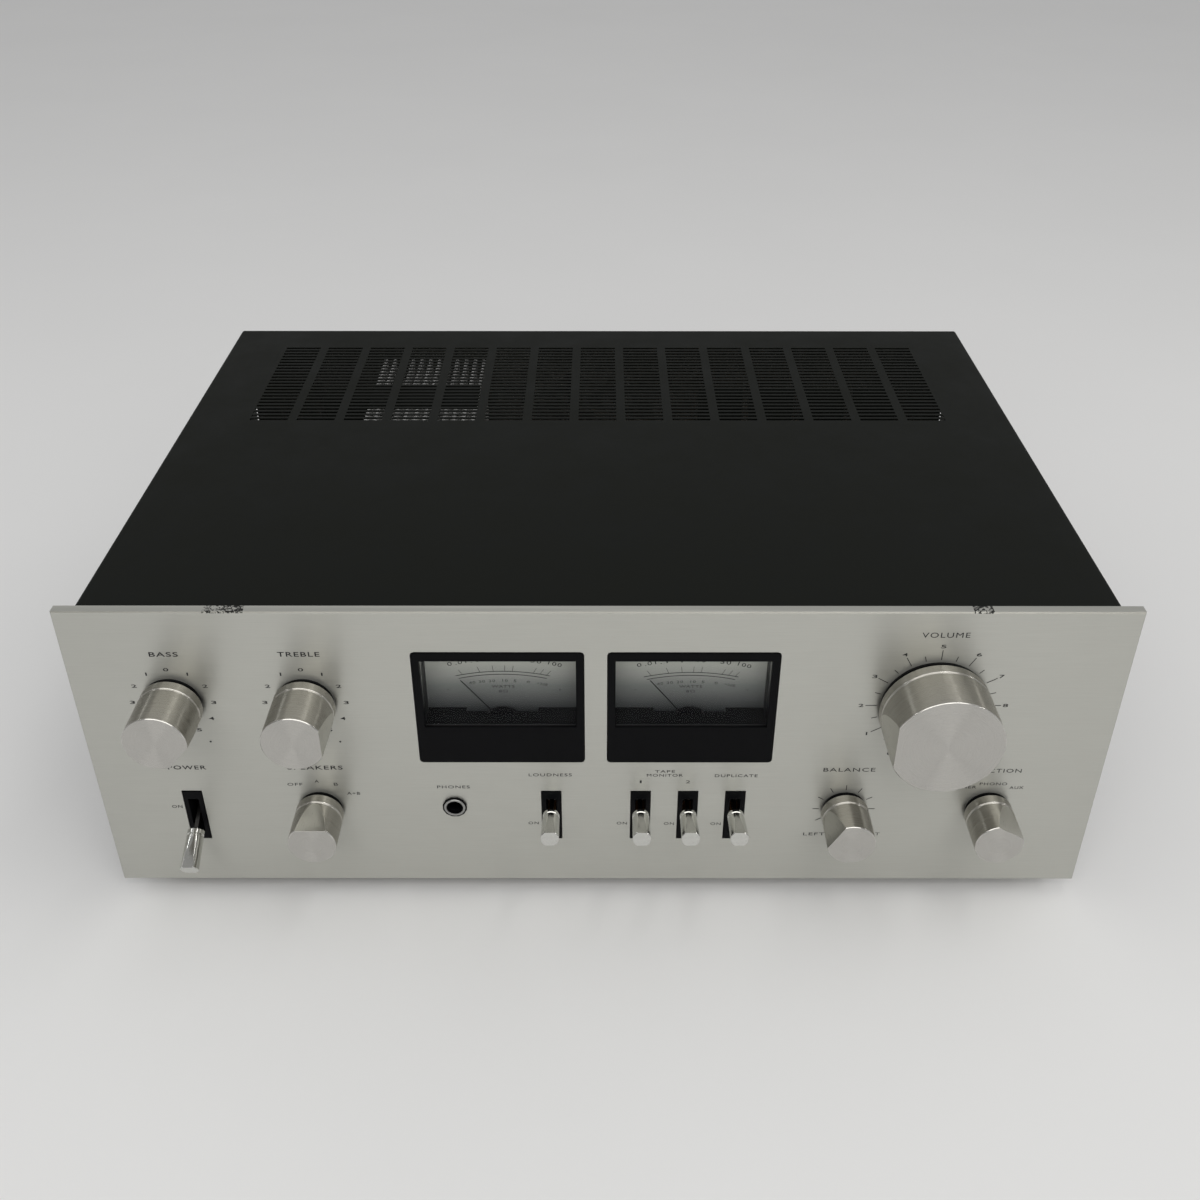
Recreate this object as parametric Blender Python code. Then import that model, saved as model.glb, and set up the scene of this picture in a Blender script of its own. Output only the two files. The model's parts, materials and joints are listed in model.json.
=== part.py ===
"""Integrated amplifier: a brushed aluminium front panel with turned knobs, lever switches and two
moving coil meters, on a steel chassis under a slotted bonnet.

Metres, +Z up. The front faces -Y, and the origin is on the table at the middle of the footprint.
Every piece is placed from the front face of the panel, at y = 0 in the frame empty that carries it.
Run with: blender --background --python part.py
"""

import math

import bmesh
import bpy
from mathutils import Matrix, Vector

# Fits between pieces
CLEAR = 0.0003
OVERRUN = 0.002

# Case, a little narrower than the front panel
PANEL_OVERHANG = 0.0062
PANEL_HEIGHT = 0.1425
PANEL_THICKNESS = 0.0045
PANEL_CHAMFER = 0.0005
PANEL_BOTTOM = 0.008
CASE_WIDTH = 0.4076
CASE_DROP = 0.002
CASE_BACK = 0.290
SHEET = 0.0012
BEND_RADIUS = 0.0018
BEND_STEPS = 3
BONNET_LIFT = 0.0015
FLANGE = 0.012
BASE_FLANGE = 0.018
BASE_BOTTOM = 0.010
REAR_INSET = 0.003

# Slot field of the bonnet, with as many slots as fit within its margins
VENT_SIDE_MARGIN = 0.0300
VENT_BACK_MARGIN = 0.0240
VENT_LENGTH = 0.0188
VENT_WIDTH = 0.0020
VENT_COLUMN_PITCH = 0.02327
VENT_ROW_PITCH = 0.00393
VENT_FRONT_ROW = 0.1740
VENT_SHIFT = -0.0006

# Slots of the base, under the heat sinks
BASE_SLOT_COLUMNS = 2
BASE_SLOT_ROWS = 5
BASE_SLOT_LENGTH = 0.022
BASE_SLOT_WIDTH = 0.003
BASE_SLOT_PITCH = 0.009

# Feet
FOOT_RADIUS = 0.011
FOOT_CHAMFER = 0.0015
FOOT_SIDES = 12
FOOT_INSET_X = 0.034
FOOT_INSET_FRONT = 0.036
FOOT_INSET_BACK = 0.028

# Knobs: radius, reach from the panel and depth of the pointer flat at the front face
KNOB_GAP = 0.0008
KNOB_GROOVE_AT = 0.0044
KNOB_GROOVE_WIDTH = 0.0009
KNOB_GROOVE_DEPTH = 0.0005
KNOB_CHAMFER = 0.0006
KNOB_FACE_WALL = 0.005
TONE_KNOB_RADIUS = 0.0125
TONE_KNOB_REACH = 0.0275
TONE_KNOB_FLAT = 0.0017
VOLUME_KNOB_RADIUS = 0.02225
VOLUME_KNOB_REACH = 0.0244
VOLUME_KNOB_FLAT = 0.0024
SMALL_KNOB_RADIUS = 0.010
SMALL_KNOB_REACH = 0.022
SMALL_KNOB_FLAT = 0.0024
VOLUME_KNOB_SIDES = 28
TONE_KNOB_SIDES = 20
SMALL_KNOB_SIDES = 18

# Places of the controls from the case's side; balance is a share of the way from the last lever to function
BASS_INSET = 0.0334
TREBLE_INSET = 0.0865
VOLUME_INSET = 0.0693
SPEAKERS_INSET = 0.0861
FUNCTION_INSET = 0.0388
BALANCE_WAY_SHARE = 0.4332

# Rows of the front, as shares of the panel's height below its top edge
TONE_ROW_SHARE = 0.30667
VOLUME_ROW_SHARE = 0.31579
METER_ROW_SHARE = 0.32947
JACK_ROW_SHARE = 0.69614
LOWER_ROW_SHARE = 0.70596
BEZEL_ROW_SHARE = 0.73193

# Pointers of the knobs, from upright
BASS_POINTER = math.radians(130)
TREBLE_POINTER = math.radians(90)
VOLUME_POINTER = math.radians(-90)
SPEAKERS_POINTER = math.radians(0)
BALANCE_POINTER = math.radians(-60)
FUNCTION_POINTER = math.radians(30)

# Shafts and the bushings that they turn in
SHAFT_RADIUS = 0.003
SHAFT_IN_BODY = 0.0075
SHAFT_SIDES = 10
BUSHING_RADIUS = 0.0046
BUSHING_RECESS = 0.0006
CONTROL_SIDES = 10
TONE_POT_RADIUS = 0.0085
TONE_POT_DEPTH = 0.012
TONE_BOARD_MARGIN = 0.0010
TONE_BOARD_HEIGHT = 0.032
BOARD_THICKNESS = 0.0016
VOLUME_POT_RADIUS = 0.014
VOLUME_POT_DEPTH = 0.030
VOLUME_GANG_STEP = 0.002
VOLUME_GANG_DEPTH = 0.018
BALANCE_POT_RADIUS = 0.0085
BALANCE_POT_DEPTH = 0.018
SWITCH_PLATE_RADIUS = 0.014
SWITCH_PLATE_DEPTH = 0.006
SWITCH_CORE_RADIUS = 0.007
WAFER_THICKNESS = 0.0018
WAFER_PITCH = 0.010
WAFER_COUNT = 1

# Lever switches
POWER_INSET = 0.0326
LOUDNESS_X = -0.0198
TAPE_FIRST_X = 0.0179
TAPE_PITCH = 0.0200
TAPE_COUNT = 3
BEZEL_WIDTH = 0.0080
BEZEL_HEIGHT = 0.0266
BEZEL_PROUD = 0.0003
BEZEL_SLOT_WIDTH = 0.0032
BEZEL_SLOT_HEIGHT = 0.0172
BEZEL_SLOT_FLARE = 0.0008
LEVER_PIVOT_DEPTH = 0.0105
LEVER_PIVOT_RISE = 0.0017
LEVER_DOWN = math.radians(24.5)
LEVER_UP = math.radians(-10.5)
LEVER_ARM_WIDTH = 0.0020
LEVER_ARM_HEIGHT = 0.0024
LEVER_TIP_START = 0.0162
LEVER_TIP_END = 0.0340
LEVER_TIP_RADIUS = 0.00365
LEVER_COLLAR = 0.0022
LEVER_GROOVE_DEPTH = 0.0004
LEVER_GROOVE_WIDTH = 0.0006
LEVER_FLAT_START = 0.0060
LEVER_FLAT_DEPTH = 0.0010
LEVER_END_CHAMFER = 0.0003
LEVER_SIDES = 8
LEVER_BARREL_SIDES = 8
LEVER_BARREL_RADIUS = 0.0024
LEVER_BARREL_WIDTH = 0.0044
TRUNNION_RADIUS = 0.0010
TRUNNION_LENGTH = 0.0014
SWITCH_WALL = 0.0026
SWITCH_HEIGHT = 0.0270
SWITCH_DEPTH = 0.0170
SWITCH_BACK_WALL = 0.0040
POWER_SWITCH_DEPTH = 0.0260
LEVER_BOARD_MARGIN = 0.005

# Phones jack
JACK_X = -0.0608
JACK_RADIUS = 0.0052
JACK_PROUD = 0.0010
JACK_BORE_RADIUS = 0.0033
JACK_BORE_DEPTH = 0.031
JACK_NECK_RADIUS = 0.0045
JACK_BODY_WIDTH = 0.0155
JACK_BODY_DEPTH = 0.032
JACK_SIDES = 12

# Meters
LEFT_METER_X = -0.0396
RIGHT_METER_X = 0.0377
METER_WIDTH = 0.0676
METER_HEIGHT = 0.0555
METER_CORNER = 0.0012
METER_PROUD = 0.0003
METER_SIDE_WALL = 0.0030
METER_TOP_WALL = 0.0039
METER_OPENING_HEIGHT = 0.0331
METER_BEZEL_DEPTH = 0.0130
WINDOW_THICKNESS = 0.0012
WINDOW_SET_BACK = 0.0006
DIAL_THICKNESS = 0.0008
DIAL_MARGIN = 0.0012
MOVEMENT_DEPTH = 0.0200
MAGNET_RADIUS = 0.015
MAGNET_DEPTH = 0.007
MAGNET_SIDES = 12
PIVOT_RISE = 0.0123
PIVOT_COVER_RADIUS = 0.0088
PIVOT_COVER_DEPTH = 0.0022
PIVOT_COVER_SIDES = 16
NEEDLE_GAP = 0.0011
NEEDLE_THICKNESS = 0.0005
NEEDLE_LENGTH = 0.0268
NEEDLE_TAIL = 0.0040
NEEDLE_ROOT_WIDTH = 0.0009
NEEDLE_TIP_WIDTH = 0.0004
NEEDLE_HUB_RADIUS = 0.0020
NEEDLE_HUB_THICKNESS = 0.0011
NEEDLE_REST = math.radians(-38)
SPINDLE_RADIUS = 0.0006
SPINDLE_IN_MOVEMENT = 0.0040

# Inside
TRANSFORMER_INSET = 0.0758
CORE_WIDTH = 0.088
CORE_HEIGHT = 0.076
CORE_DEPTH = 0.040
COIL_WIDTH = 0.056
COIL_HEIGHT = 0.048
COIL_OVERHANG = 0.016
COIL_CORNER = 0.010
BRACKET_WIDTH = 0.108
BRACKET_DEPTH = 0.052
BRACKET_THICKNESS = 0.002
CAPACITOR_RADIUS = 0.0175
CAPACITOR_HEIGHT = 0.062
CAPACITOR_RIM = 0.0012
CAPACITOR_SIDES = 14
LEFT_CAPACITOR_X = -0.038
RIGHT_CAPACITOR_X = 0.002
CAPACITOR_INSET = 0.034
SINK_X = -0.0910
SINK_WIDTH = 0.0560
SINK_FINS = 12
FIN_THICKNESS = 0.0015
FIN_DEPTH = 0.0400
SINK_PLATE = 0.0040
SINK_INSET = 0.0100
SINK_SPACING = 0.0150
SINK_BELOW_BONNET = 0.0050
BOARD_LIFT = 0.008
STANDOFF_RADIUS = 0.003
STANDOFF_INSET = 0.006
STANDOFF_SIDES = 8
BOARD_SIDE_INSET = 0.0078
BOARD_BACK_INSET = 0.0098
POWER_BOARD_RIGHT = 0.024
POWER_BOARD_DEPTH = 0.118
PREAMP_BOARD_LEFT = 0.044
PREAMP_BOARD_DEPTH = 0.128

# Rear fittings
JACK_STRIP_INSET = 0.0878
JACK_STRIP_WIDTH = 0.128
JACK_STRIP_HEIGHT = 0.036
JACK_STRIP_DROP = 0.050
STRIP_THICKNESS = 0.0016
PHONO_COLUMNS = 7
PHONO_PITCH_X = 0.0170
PHONO_PITCH_Z = 0.0160
PHONO_RADIUS = 0.00415
PHONO_BORE = 0.0018
PHONO_REACH = 0.0085
PHONO_SIDES = 6
GROUND_POST_RADIUS = 0.0030
GROUND_POST_REACH = 0.0100
TERMINALS_X = -0.012
TERMINALS_RISE = 0.0445
TERMINALS_WIDTH = 0.104
TERMINALS_HEIGHT = 0.022
TERMINALS_DEPTH = 0.0060
TERMINAL_COUNT = 8
TERMINAL_RIB = 0.0018
TERMINAL_RIB_REACH = 0.0090
OUTLET_INSET = 0.0758
OUTLET_DROP = 0.046
OUTLET_WIDTH = 0.068
OUTLET_HEIGHT = 0.028
OUTLET_DEPTH = 0.0070
OUTLET_BODY_DEPTH = 0.016
OUTLET_SLOT_WIDTH = 0.0022
OUTLET_SLOT_HEIGHT = 0.0075
OUTLET_SLOT_PITCH = 0.0127
OUTLET_COUNT = 2
OUTLET_PITCH = 0.032
OUTLET_SLOT_DEPTH = 0.012
GLAND_INSET = 0.0238
GLAND_RISE = 0.0305
GLAND_RADIUS = 0.0085
GLAND_NECK = 0.0062
GLAND_BORE = 0.0035
GLAND_REACH = 0.0080
GLAND_FLANGE = 0.0025
GLAND_INSIDE = 0.0080
GLAND_SIDES = 10
WINDOW_MARGIN = 0.004
REAR_WINDOWS = 4

# Places worked out from the sizes above
CASE_SIDE = CASE_WIDTH / 2
PANEL_WIDTH = CASE_WIDTH + 2 * PANEL_OVERHANG
PANEL_TOP = PANEL_BOTTOM + PANEL_HEIGHT
CASE_TOP = PANEL_TOP - CASE_DROP
CASE_FRONT = PANEL_THICKNESS + CLEAR
INNER_HALF = CASE_SIDE - SHEET - CLEAR
UPRIGHT_HALF = INNER_HALF - SHEET - CLEAR
BASE_TOP = BASE_BOTTOM + SHEET
FLOOR = BASE_TOP + CLEAR
CEILING = CASE_TOP - SHEET - CLEAR
SUB_BACK = CASE_FRONT + SHEET
CONTROL_FRONT = SUB_BACK + CLEAR
REAR_OUTER = CASE_BACK - REAR_INSET
REAR_INNER = REAR_OUTER - SHEET
BORE_RADIUS = SHAFT_RADIUS + CLEAR
TONE_HEIGHT = PANEL_TOP - TONE_ROW_SHARE * PANEL_HEIGHT
VOLUME_HEIGHT = PANEL_TOP - VOLUME_ROW_SHARE * PANEL_HEIGHT
LOWER_HEIGHT = PANEL_TOP - LOWER_ROW_SHARE * PANEL_HEIGHT
METER_MIDDLE = PANEL_TOP - METER_ROW_SHARE * PANEL_HEIGHT
METER_PIVOT = METER_MIDDLE - METER_HEIGHT / 2 + PIVOT_RISE
JACK_HEIGHT = PANEL_TOP - JACK_ROW_SHARE * PANEL_HEIGHT
BEZEL_MIDDLE = PANEL_TOP - BEZEL_ROW_SHARE * PANEL_HEIGHT
LEVER_PIVOT = BEZEL_MIDDLE + LEVER_PIVOT_RISE
BASS_X = BASS_INSET - CASE_SIDE
TREBLE_X = TREBLE_INSET - CASE_SIDE
SPEAKERS_X = SPEAKERS_INSET - CASE_SIDE
VOLUME_X = CASE_SIDE - VOLUME_INSET
FUNCTION_X = CASE_SIDE - FUNCTION_INSET
LAST_LEVER_X = TAPE_FIRST_X + (TAPE_COUNT - 1) * TAPE_PITCH
BALANCE_X = LAST_LEVER_X + BALANCE_WAY_SHARE * (FUNCTION_X - LAST_LEVER_X)
SWITCH_SLOT_INSET = (BEZEL_WIDTH - LEVER_BARREL_WIDTH) / 2 - CLEAR
SWITCH_WIDTH = LEVER_BARREL_WIDTH + 2 * CLEAR + 2 * SWITCH_WALL
BOARD_BOTTOM = BASE_TOP + BOARD_LIFT
BOARD_TOP = BOARD_BOTTOM + BOARD_THICKNESS
BOARD_BACK = REAR_INNER - BOARD_BACK_INSET
POWER_BOARD_FRONT = BOARD_BACK - POWER_BOARD_DEPTH
PREAMP_BOARD_FRONT = BOARD_BACK - PREAMP_BOARD_DEPTH
REAR_SINK_PLATE_Y = BOARD_BACK - SINK_INSET - FIN_DEPTH - SINK_PLATE
FRONT_SINK_PLATE_Y = REAR_SINK_PLATE_Y - SINK_SPACING
FRONT_FIN_TIPS = FRONT_SINK_PLATE_Y - SINK_PLATE - FIN_DEPTH
TRANSFORMER_Y = (CONTROL_FRONT + POWER_SWITCH_DEPTH + FRONT_FIN_TIPS) / 2
VENT_COLUMNS = 1 + int((CASE_WIDTH - 2 * VENT_SIDE_MARGIN - VENT_LENGTH) / VENT_COLUMN_PITCH)
VENT_ROWS = 1 + int((CASE_BACK - VENT_BACK_MARGIN - VENT_FRONT_ROW) / VENT_ROW_PITCH)
JACK_STRIP_X = CASE_SIDE - JACK_STRIP_INSET
JACK_STRIP_MIDDLE = PANEL_TOP - JACK_STRIP_DROP
TERMINALS_MIDDLE = BASE_BOTTOM + TERMINALS_RISE
OUTLET_X = OUTLET_INSET - CASE_SIDE
OUTLET_MIDDLE = PANEL_TOP - OUTLET_DROP
GLAND_PLACE = (GLAND_INSET - CASE_SIDE, 0, BASE_BOTTOM + GLAND_RISE)
REAR_REACH = REAR_OUTER + CLEAR + max(
    STRIP_THICKNESS + max(PHONO_REACH, GROUND_POST_REACH), TERMINAL_RIB_REACH, OUTLET_DEPTH, GLAND_REACH
)
FRONT_REACH = max(TONE_KNOB_REACH, VOLUME_KNOB_REACH, SMALL_KNOB_REACH)
FRAME_Y = (FRONT_REACH - REAR_REACH) / 2
SHARP_ANGLE = math.radians(35)

# Colour, metallic and roughness of each finish
FINISHES = {
    "brushed_aluminium": ((0.62, 0.62, 0.59, 1.0), 1.0, 0.38),
    "spun_aluminium": ((0.66, 0.65, 0.62, 1.0), 1.0, 0.28),
    "chrome": ((0.80, 0.80, 0.80, 1.0), 1.0, 0.12),
    "black_paint": ((0.020, 0.020, 0.019, 1.0), 0.0, 0.55),
    "zinc_steel": ((0.48, 0.47, 0.43, 1.0), 1.0, 0.45),
    "black_plastic": ((0.012, 0.012, 0.013, 1.0), 0.0, 0.35),
    "clear_plastic": ((0.90, 0.92, 0.92, 1.0), 0.0, 0.05),
    "dial_card": ((0.52, 0.53, 0.50, 1.0), 0.0, 0.60),
    "bare_aluminium": ((0.72, 0.72, 0.72, 1.0), 1.0, 0.35),
    "laminate": ((0.22, 0.12, 0.05, 1.0), 0.0, 0.50),
    "lamination": ((0.08, 0.07, 0.06, 1.0), 0.6, 0.50),
    "sleeve": ((0.02, 0.03, 0.09, 1.0), 0.0, 0.35),
    "rubber": ((0.015, 0.015, 0.015, 1.0), 0.0, 0.80),
}


def finish(name, kind):
    """A Principled material of the piece's own."""
    colour, metallic, roughness = FINISHES[kind]
    material = bpy.data.materials.new(name + "_finish")
    material.use_nodes = True
    shader = material.node_tree.nodes["Principled BSDF"]
    shader.inputs["Base Color"].default_value = colour
    shader.inputs["Metallic"].default_value = metallic
    shader.inputs["Roughness"].default_value = roughness
    if kind == "clear_plastic":
        shader.inputs["Transmission Weight"].default_value = 1.0
    return material


def box(low, high):
    """A box between two corners."""
    shape = bmesh.new()
    bmesh.ops.create_cube(shape, size=1)
    for vertex in shape.verts:
        vertex.co = [low[i] if vertex.co[i] < 0 else high[i] for i in range(3)]
    return shape


def plate_at(x, z, width, height, front, back):
    """A box given by its middle in x and z, its width and height, and its front and back."""
    return box((x - width / 2, front, z - height / 2), (x + width / 2, back, z + height / 2))


def prism(outline, axis, start, end):
    """An outline extruded along x, y or z; its points are the other two coordinates in order."""
    shape = bmesh.new()
    place = {
        "X": lambda p, along: (along, p[0], p[1]),
        "Y": lambda p, along: (p[0], along, p[1]),
        "Z": lambda p, along: (p[0], p[1], along),
    }[axis]
    ring = [shape.verts.new(place(point, start)) for point in outline]
    face = shape.faces.new(ring)
    moved = bmesh.ops.extrude_face_region(shape, geom=[face])["geom"]
    step = Vector(place((0, 0), end - start))
    bmesh.ops.translate(shape, vec=step, verts=[g for g in moved if isinstance(g, bmesh.types.BMVert)])
    bmesh.ops.recalc_face_normals(shape, faces=shape.faces)
    return shape


def turned(profile, sides, axis="Y", centre=(0, 0, 0)):
    """A closed profile of (radius, along) points spun about an axis; radius 0 lies on the axis."""
    shape = bmesh.new()
    rings = []
    for radius, along in profile:
        if radius == 0:
            rings.append([shape.verts.new((0, 0, along))])
            continue
        angles = [2 * math.pi * (k + 0.5) / sides for k in range(sides)]
        rings.append([shape.verts.new((radius * math.cos(a), radius * math.sin(a), along)) for a in angles])
    for one, two in zip(rings, rings[1:] + rings[:1]):
        if len(one) == 1 and len(two) == 1:
            continue
        for k in range(sides):
            corners = [one[k % len(one)], one[(k + 1) % len(one)], two[(k + 1) % len(two)], two[k % len(two)]]
            shape.faces.new(list(dict.fromkeys(corners)))
    turn = {
        "X": Matrix.Rotation(math.pi / 2, 4, "Y"),
        "Y": Matrix.Rotation(-math.pi / 2, 4, "X"),
        "Z": Matrix.Identity(4),
    }[axis]
    bmesh.ops.transform(shape, matrix=Matrix.Translation(centre) @ turn, verts=shape.verts)
    bmesh.ops.recalc_face_normals(shape, faces=shape.faces)
    return shape


def rod(radius, start, end, sides, axis="Y", centre=(0, 0, 0)):
    """A plain cylinder from start to end along an axis through the centre."""
    return turned([(0, start), (radius, start), (radius, end), (0, end)], sides, axis, centre)


def rounded(x, z, width, height, radius, steps=2):
    """The outline of a rectangle with round corners."""
    points = []
    for corner, (sx, sz) in enumerate(((1, 1), (-1, 1), (-1, -1), (1, -1))):
        cx = x + sx * (width / 2 - radius)
        cz = z + sz * (height / 2 - radius)
        for step in range(steps + 1):
            angle = math.pi / 2 * (corner + step / steps)
            points.append((cx + radius * math.cos(angle), cz + radius * math.sin(angle)))
    return points


def mesh_of(name, shapes):
    """One mesh that holds the given shapes side by side."""
    mesh = bpy.data.meshes.new(name)
    whole = bmesh.new()
    for shape in shapes:
        shape.to_mesh(mesh)
        whole.from_mesh(mesh)
        shape.free()
    whole.to_mesh(mesh)
    whole.free()
    return mesh


def piece(name, kind, shape, at=(0, 0, 0), turn=(0, 0, 0)):
    """A named object with its own finish, carried by the frame."""
    obj = bpy.data.objects.new(name, mesh_of(name, [shape]))
    bpy.context.collection.objects.link(obj)
    obj.parent = bpy.data.objects["amplifier_frame"]
    obj.location = at
    obj.rotation_euler = turn
    obj.data.materials.append(finish(name, kind))
    obj.data.shade_smooth()
    obj.data.set_sharp_from_angle(angle=SHARP_ANGLE)
    return obj


def combine(obj, shapes, operation):
    """A Boolean modifier that reads the shapes from one hidden guide."""
    label = f"{obj.name}_{operation.lower()}_{len(obj.modifiers)}"
    guide = bpy.data.objects.new(label, mesh_of(label, shapes))
    bpy.context.collection.objects.link(guide)
    guide.parent = obj
    guide.hide_render = True
    guide.display_type = "WIRE"
    modifier = obj.modifiers.new(label, "BOOLEAN")
    modifier.operation = operation
    modifier.solver = "EXACT"
    modifier.object = guide


def cut(obj, shapes):
    combine(obj, shapes, "DIFFERENCE")


def add(obj, shapes):
    combine(obj, shapes, "UNION")


def lever_places():
    """Name and x of each lever switch."""
    tape = ["tape_one", "tape_two", "duplicate"]
    places = {"power": POWER_INSET - CASE_SIDE, "loudness": LOUDNESS_X}
    places.update({tape[k]: TAPE_FIRST_X + k * TAPE_PITCH for k in range(TAPE_COUNT)})
    return places


def control_places():
    """Name, x and height of each turned control."""
    return {
        "bass": (BASS_X, TONE_HEIGHT),
        "treble": (TREBLE_X, TONE_HEIGHT),
        "volume": (VOLUME_X, VOLUME_HEIGHT),
        "speakers": (SPEAKERS_X, LOWER_HEIGHT),
        "balance": (BALANCE_X, LOWER_HEIGHT),
        "function": (FUNCTION_X, LOWER_HEIGHT),
    }


def front_cutters(front, back, bezel_clear):
    """Holes that the front panel and the sub panel share, from front to back."""
    shapes = []
    for x, z in control_places().values():
        shapes.append(rod(BUSHING_RADIUS + CLEAR, front, back, CONTROL_SIDES, "Y", (x, 0, z)))
    for x in (LEFT_METER_X, RIGHT_METER_X):
        outline = rounded(
            x, METER_MIDDLE, METER_WIDTH + 2 * CLEAR, METER_HEIGHT + 2 * CLEAR, METER_CORNER + CLEAR
        )
        shapes.append(prism(outline, "Y", front, back))
    for x in lever_places().values():
        z = BEZEL_MIDDLE
        shapes.append(
            plate_at(x, z, BEZEL_WIDTH + 2 * bezel_clear, BEZEL_HEIGHT + 2 * bezel_clear, front, back)
        )
    neck = JACK_NECK_RADIUS + CLEAR
    shapes.append(rod(neck, front, back, JACK_SIDES, "Y", (JACK_X, 0, JACK_HEIGHT)))
    return shapes


def make_front_panel():
    low = (-PANEL_WIDTH / 2, 0, PANEL_BOTTOM)
    high = (PANEL_WIDTH / 2, PANEL_THICKNESS, PANEL_TOP)
    shape = box(low, high)
    edges = [e for e in shape.edges if all(v.co.y < PANEL_THICKNESS / 2 for v in e.verts)]
    bmesh.ops.bevel(shape, geom=edges, offset=PANEL_CHAMFER, segments=1, affect="EDGES")
    panel = piece("front_panel", "brushed_aluminium", shape)
    cut(panel, front_cutters(-OVERRUN, PANEL_THICKNESS + OVERRUN, CLEAR))


def make_sub_panel():
    top = CEILING
    bottom = FLOOR
    back = SUB_BACK
    outline = [
        (CASE_FRONT, bottom),
        (back + FLANGE, bottom),
        (back + FLANGE, bottom + SHEET),
        (back, bottom + SHEET),
        (back, top - SHEET),
        (back + FLANGE, top - SHEET),
        (back + FLANGE, top),
        (CASE_FRONT, top),
    ]
    panel = piece("sub_panel", "zinc_steel", prism(outline, "X", -UPRIGHT_HALF, UPRIGHT_HALF))
    cut(panel, front_cutters(CASE_FRONT - OVERRUN, back + OVERRUN, -SWITCH_SLOT_INSET))


def make_chassis_base():
    outer = INNER_HALF
    inner = outer - SHEET
    top = BASE_TOP + BASE_FLANGE
    outline = [
        (-outer, BASE_BOTTOM),
        (outer, BASE_BOTTOM),
        (outer, top),
        (inner, top),
        (inner, BASE_TOP),
        (-inner, BASE_TOP),
        (-inner, top),
        (-outer, top),
    ]
    base = piece("chassis_base", "zinc_steel", prism(outline, "Y", CASE_FRONT, REAR_OUTER))
    slots = []
    for column in range(BASE_SLOT_COLUMNS):
        x = SINK_X + (column - (BASE_SLOT_COLUMNS - 1) / 2) * (BASE_SLOT_LENGTH + BASE_SLOT_PITCH)
        for row in range(BASE_SLOT_ROWS):
            y = REAR_SINK_PLATE_Y + (row - (BASE_SLOT_ROWS - 1) / 2) * BASE_SLOT_PITCH
            low = (x - BASE_SLOT_LENGTH / 2, y - BASE_SLOT_WIDTH / 2, BASE_BOTTOM - OVERRUN)
            high = (x + BASE_SLOT_LENGTH / 2, y + BASE_SLOT_WIDTH / 2, BASE_TOP + OVERRUN)
            slots.append(box(low, high))
    cut(base, slots)


def bonnet_outline():
    """The bonnet's section: a U with round bends, open below."""
    outer = CASE_WIDTH / 2
    inner = outer - SHEET
    bottom = BASE_BOTTOM + BONNET_LIFT
    inner_radius = BEND_RADIUS - SHEET

    def bend(side, half, top, radius):
        points = []
        for k in range(BEND_STEPS + 1):
            angle = math.pi / 2 * k / BEND_STEPS
            x = half - radius + radius * math.cos(angle)
            points.append((side * x, top - radius + radius * math.sin(angle)))
        return points

    right = bend(1, outer, CASE_TOP, BEND_RADIUS)
    left = bend(-1, outer, CASE_TOP, BEND_RADIUS)[::-1]
    inside_left = bend(-1, inner, CASE_TOP - SHEET, inner_radius)
    inside_right = bend(1, inner, CASE_TOP - SHEET, inner_radius)[::-1]
    outside = [(outer, bottom)] + right + left + [(-outer, bottom)]
    inside = [(-inner, bottom)] + inside_left + inside_right + [(inner, bottom)]
    return outside + inside


def make_top_cover():
    cover = piece("top_cover", "black_paint", prism(bonnet_outline(), "Y", CASE_FRONT, CASE_BACK))
    slots = []
    for column in range(VENT_COLUMNS):
        x = VENT_SHIFT + (column - (VENT_COLUMNS - 1) / 2) * VENT_COLUMN_PITCH
        for row in range(VENT_ROWS):
            y = VENT_FRONT_ROW + row * VENT_ROW_PITCH
            low = (x - VENT_LENGTH / 2, y - VENT_WIDTH / 2, CASE_TOP - SHEET - OVERRUN)
            high = (x + VENT_LENGTH / 2, y + VENT_WIDTH / 2, CASE_TOP + OVERRUN)
            slots.append(box(low, high))
    cut(cover, slots)


def rear_windows(x, z, width, tall, count):
    """Openings in the rear panel behind a fitting, with steel ribs between them."""
    step = (width - 2 * WINDOW_MARGIN) / count
    wide = step - WINDOW_MARGIN
    shapes = []
    for k in range(count):
        middle = x + (k - (count - 1) / 2) * step
        shapes.append(
            plate_at(middle, z, wide, tall - 2 * WINDOW_MARGIN, REAR_INNER - OVERRUN, REAR_OUTER + OVERRUN)
        )
    return shapes


def make_rear_panel():
    low = (-UPRIGHT_HALF, REAR_INNER, FLOOR)
    high = (UPRIGHT_HALF, REAR_OUTER, CEILING)
    panel = piece("rear_panel", "zinc_steel", box(low, high))
    holes = rear_windows(
        JACK_STRIP_X, JACK_STRIP_MIDDLE, JACK_STRIP_WIDTH, JACK_STRIP_HEIGHT, REAR_WINDOWS
    )
    holes += rear_windows(TERMINALS_X, TERMINALS_MIDDLE, TERMINALS_WIDTH, TERMINALS_HEIGHT, REAR_WINDOWS)
    for x in outlet_places():
        width = OUTLET_PITCH - WINDOW_MARGIN + 2 * CLEAR
        tall = OUTLET_HEIGHT - 2 * WINDOW_MARGIN + 2 * CLEAR
        holes.append(
            plate_at(x, OUTLET_MIDDLE, width, tall, REAR_INNER - OVERRUN, REAR_OUTER + OVERRUN)
        )
    holes.append(
        rod(
            GLAND_NECK + CLEAR,
            REAR_INNER - OVERRUN,
            REAR_OUTER + OVERRUN,
            GLAND_SIDES,
            "Y",
            GLAND_PLACE,
        )
    )
    cut(panel, holes)


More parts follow.
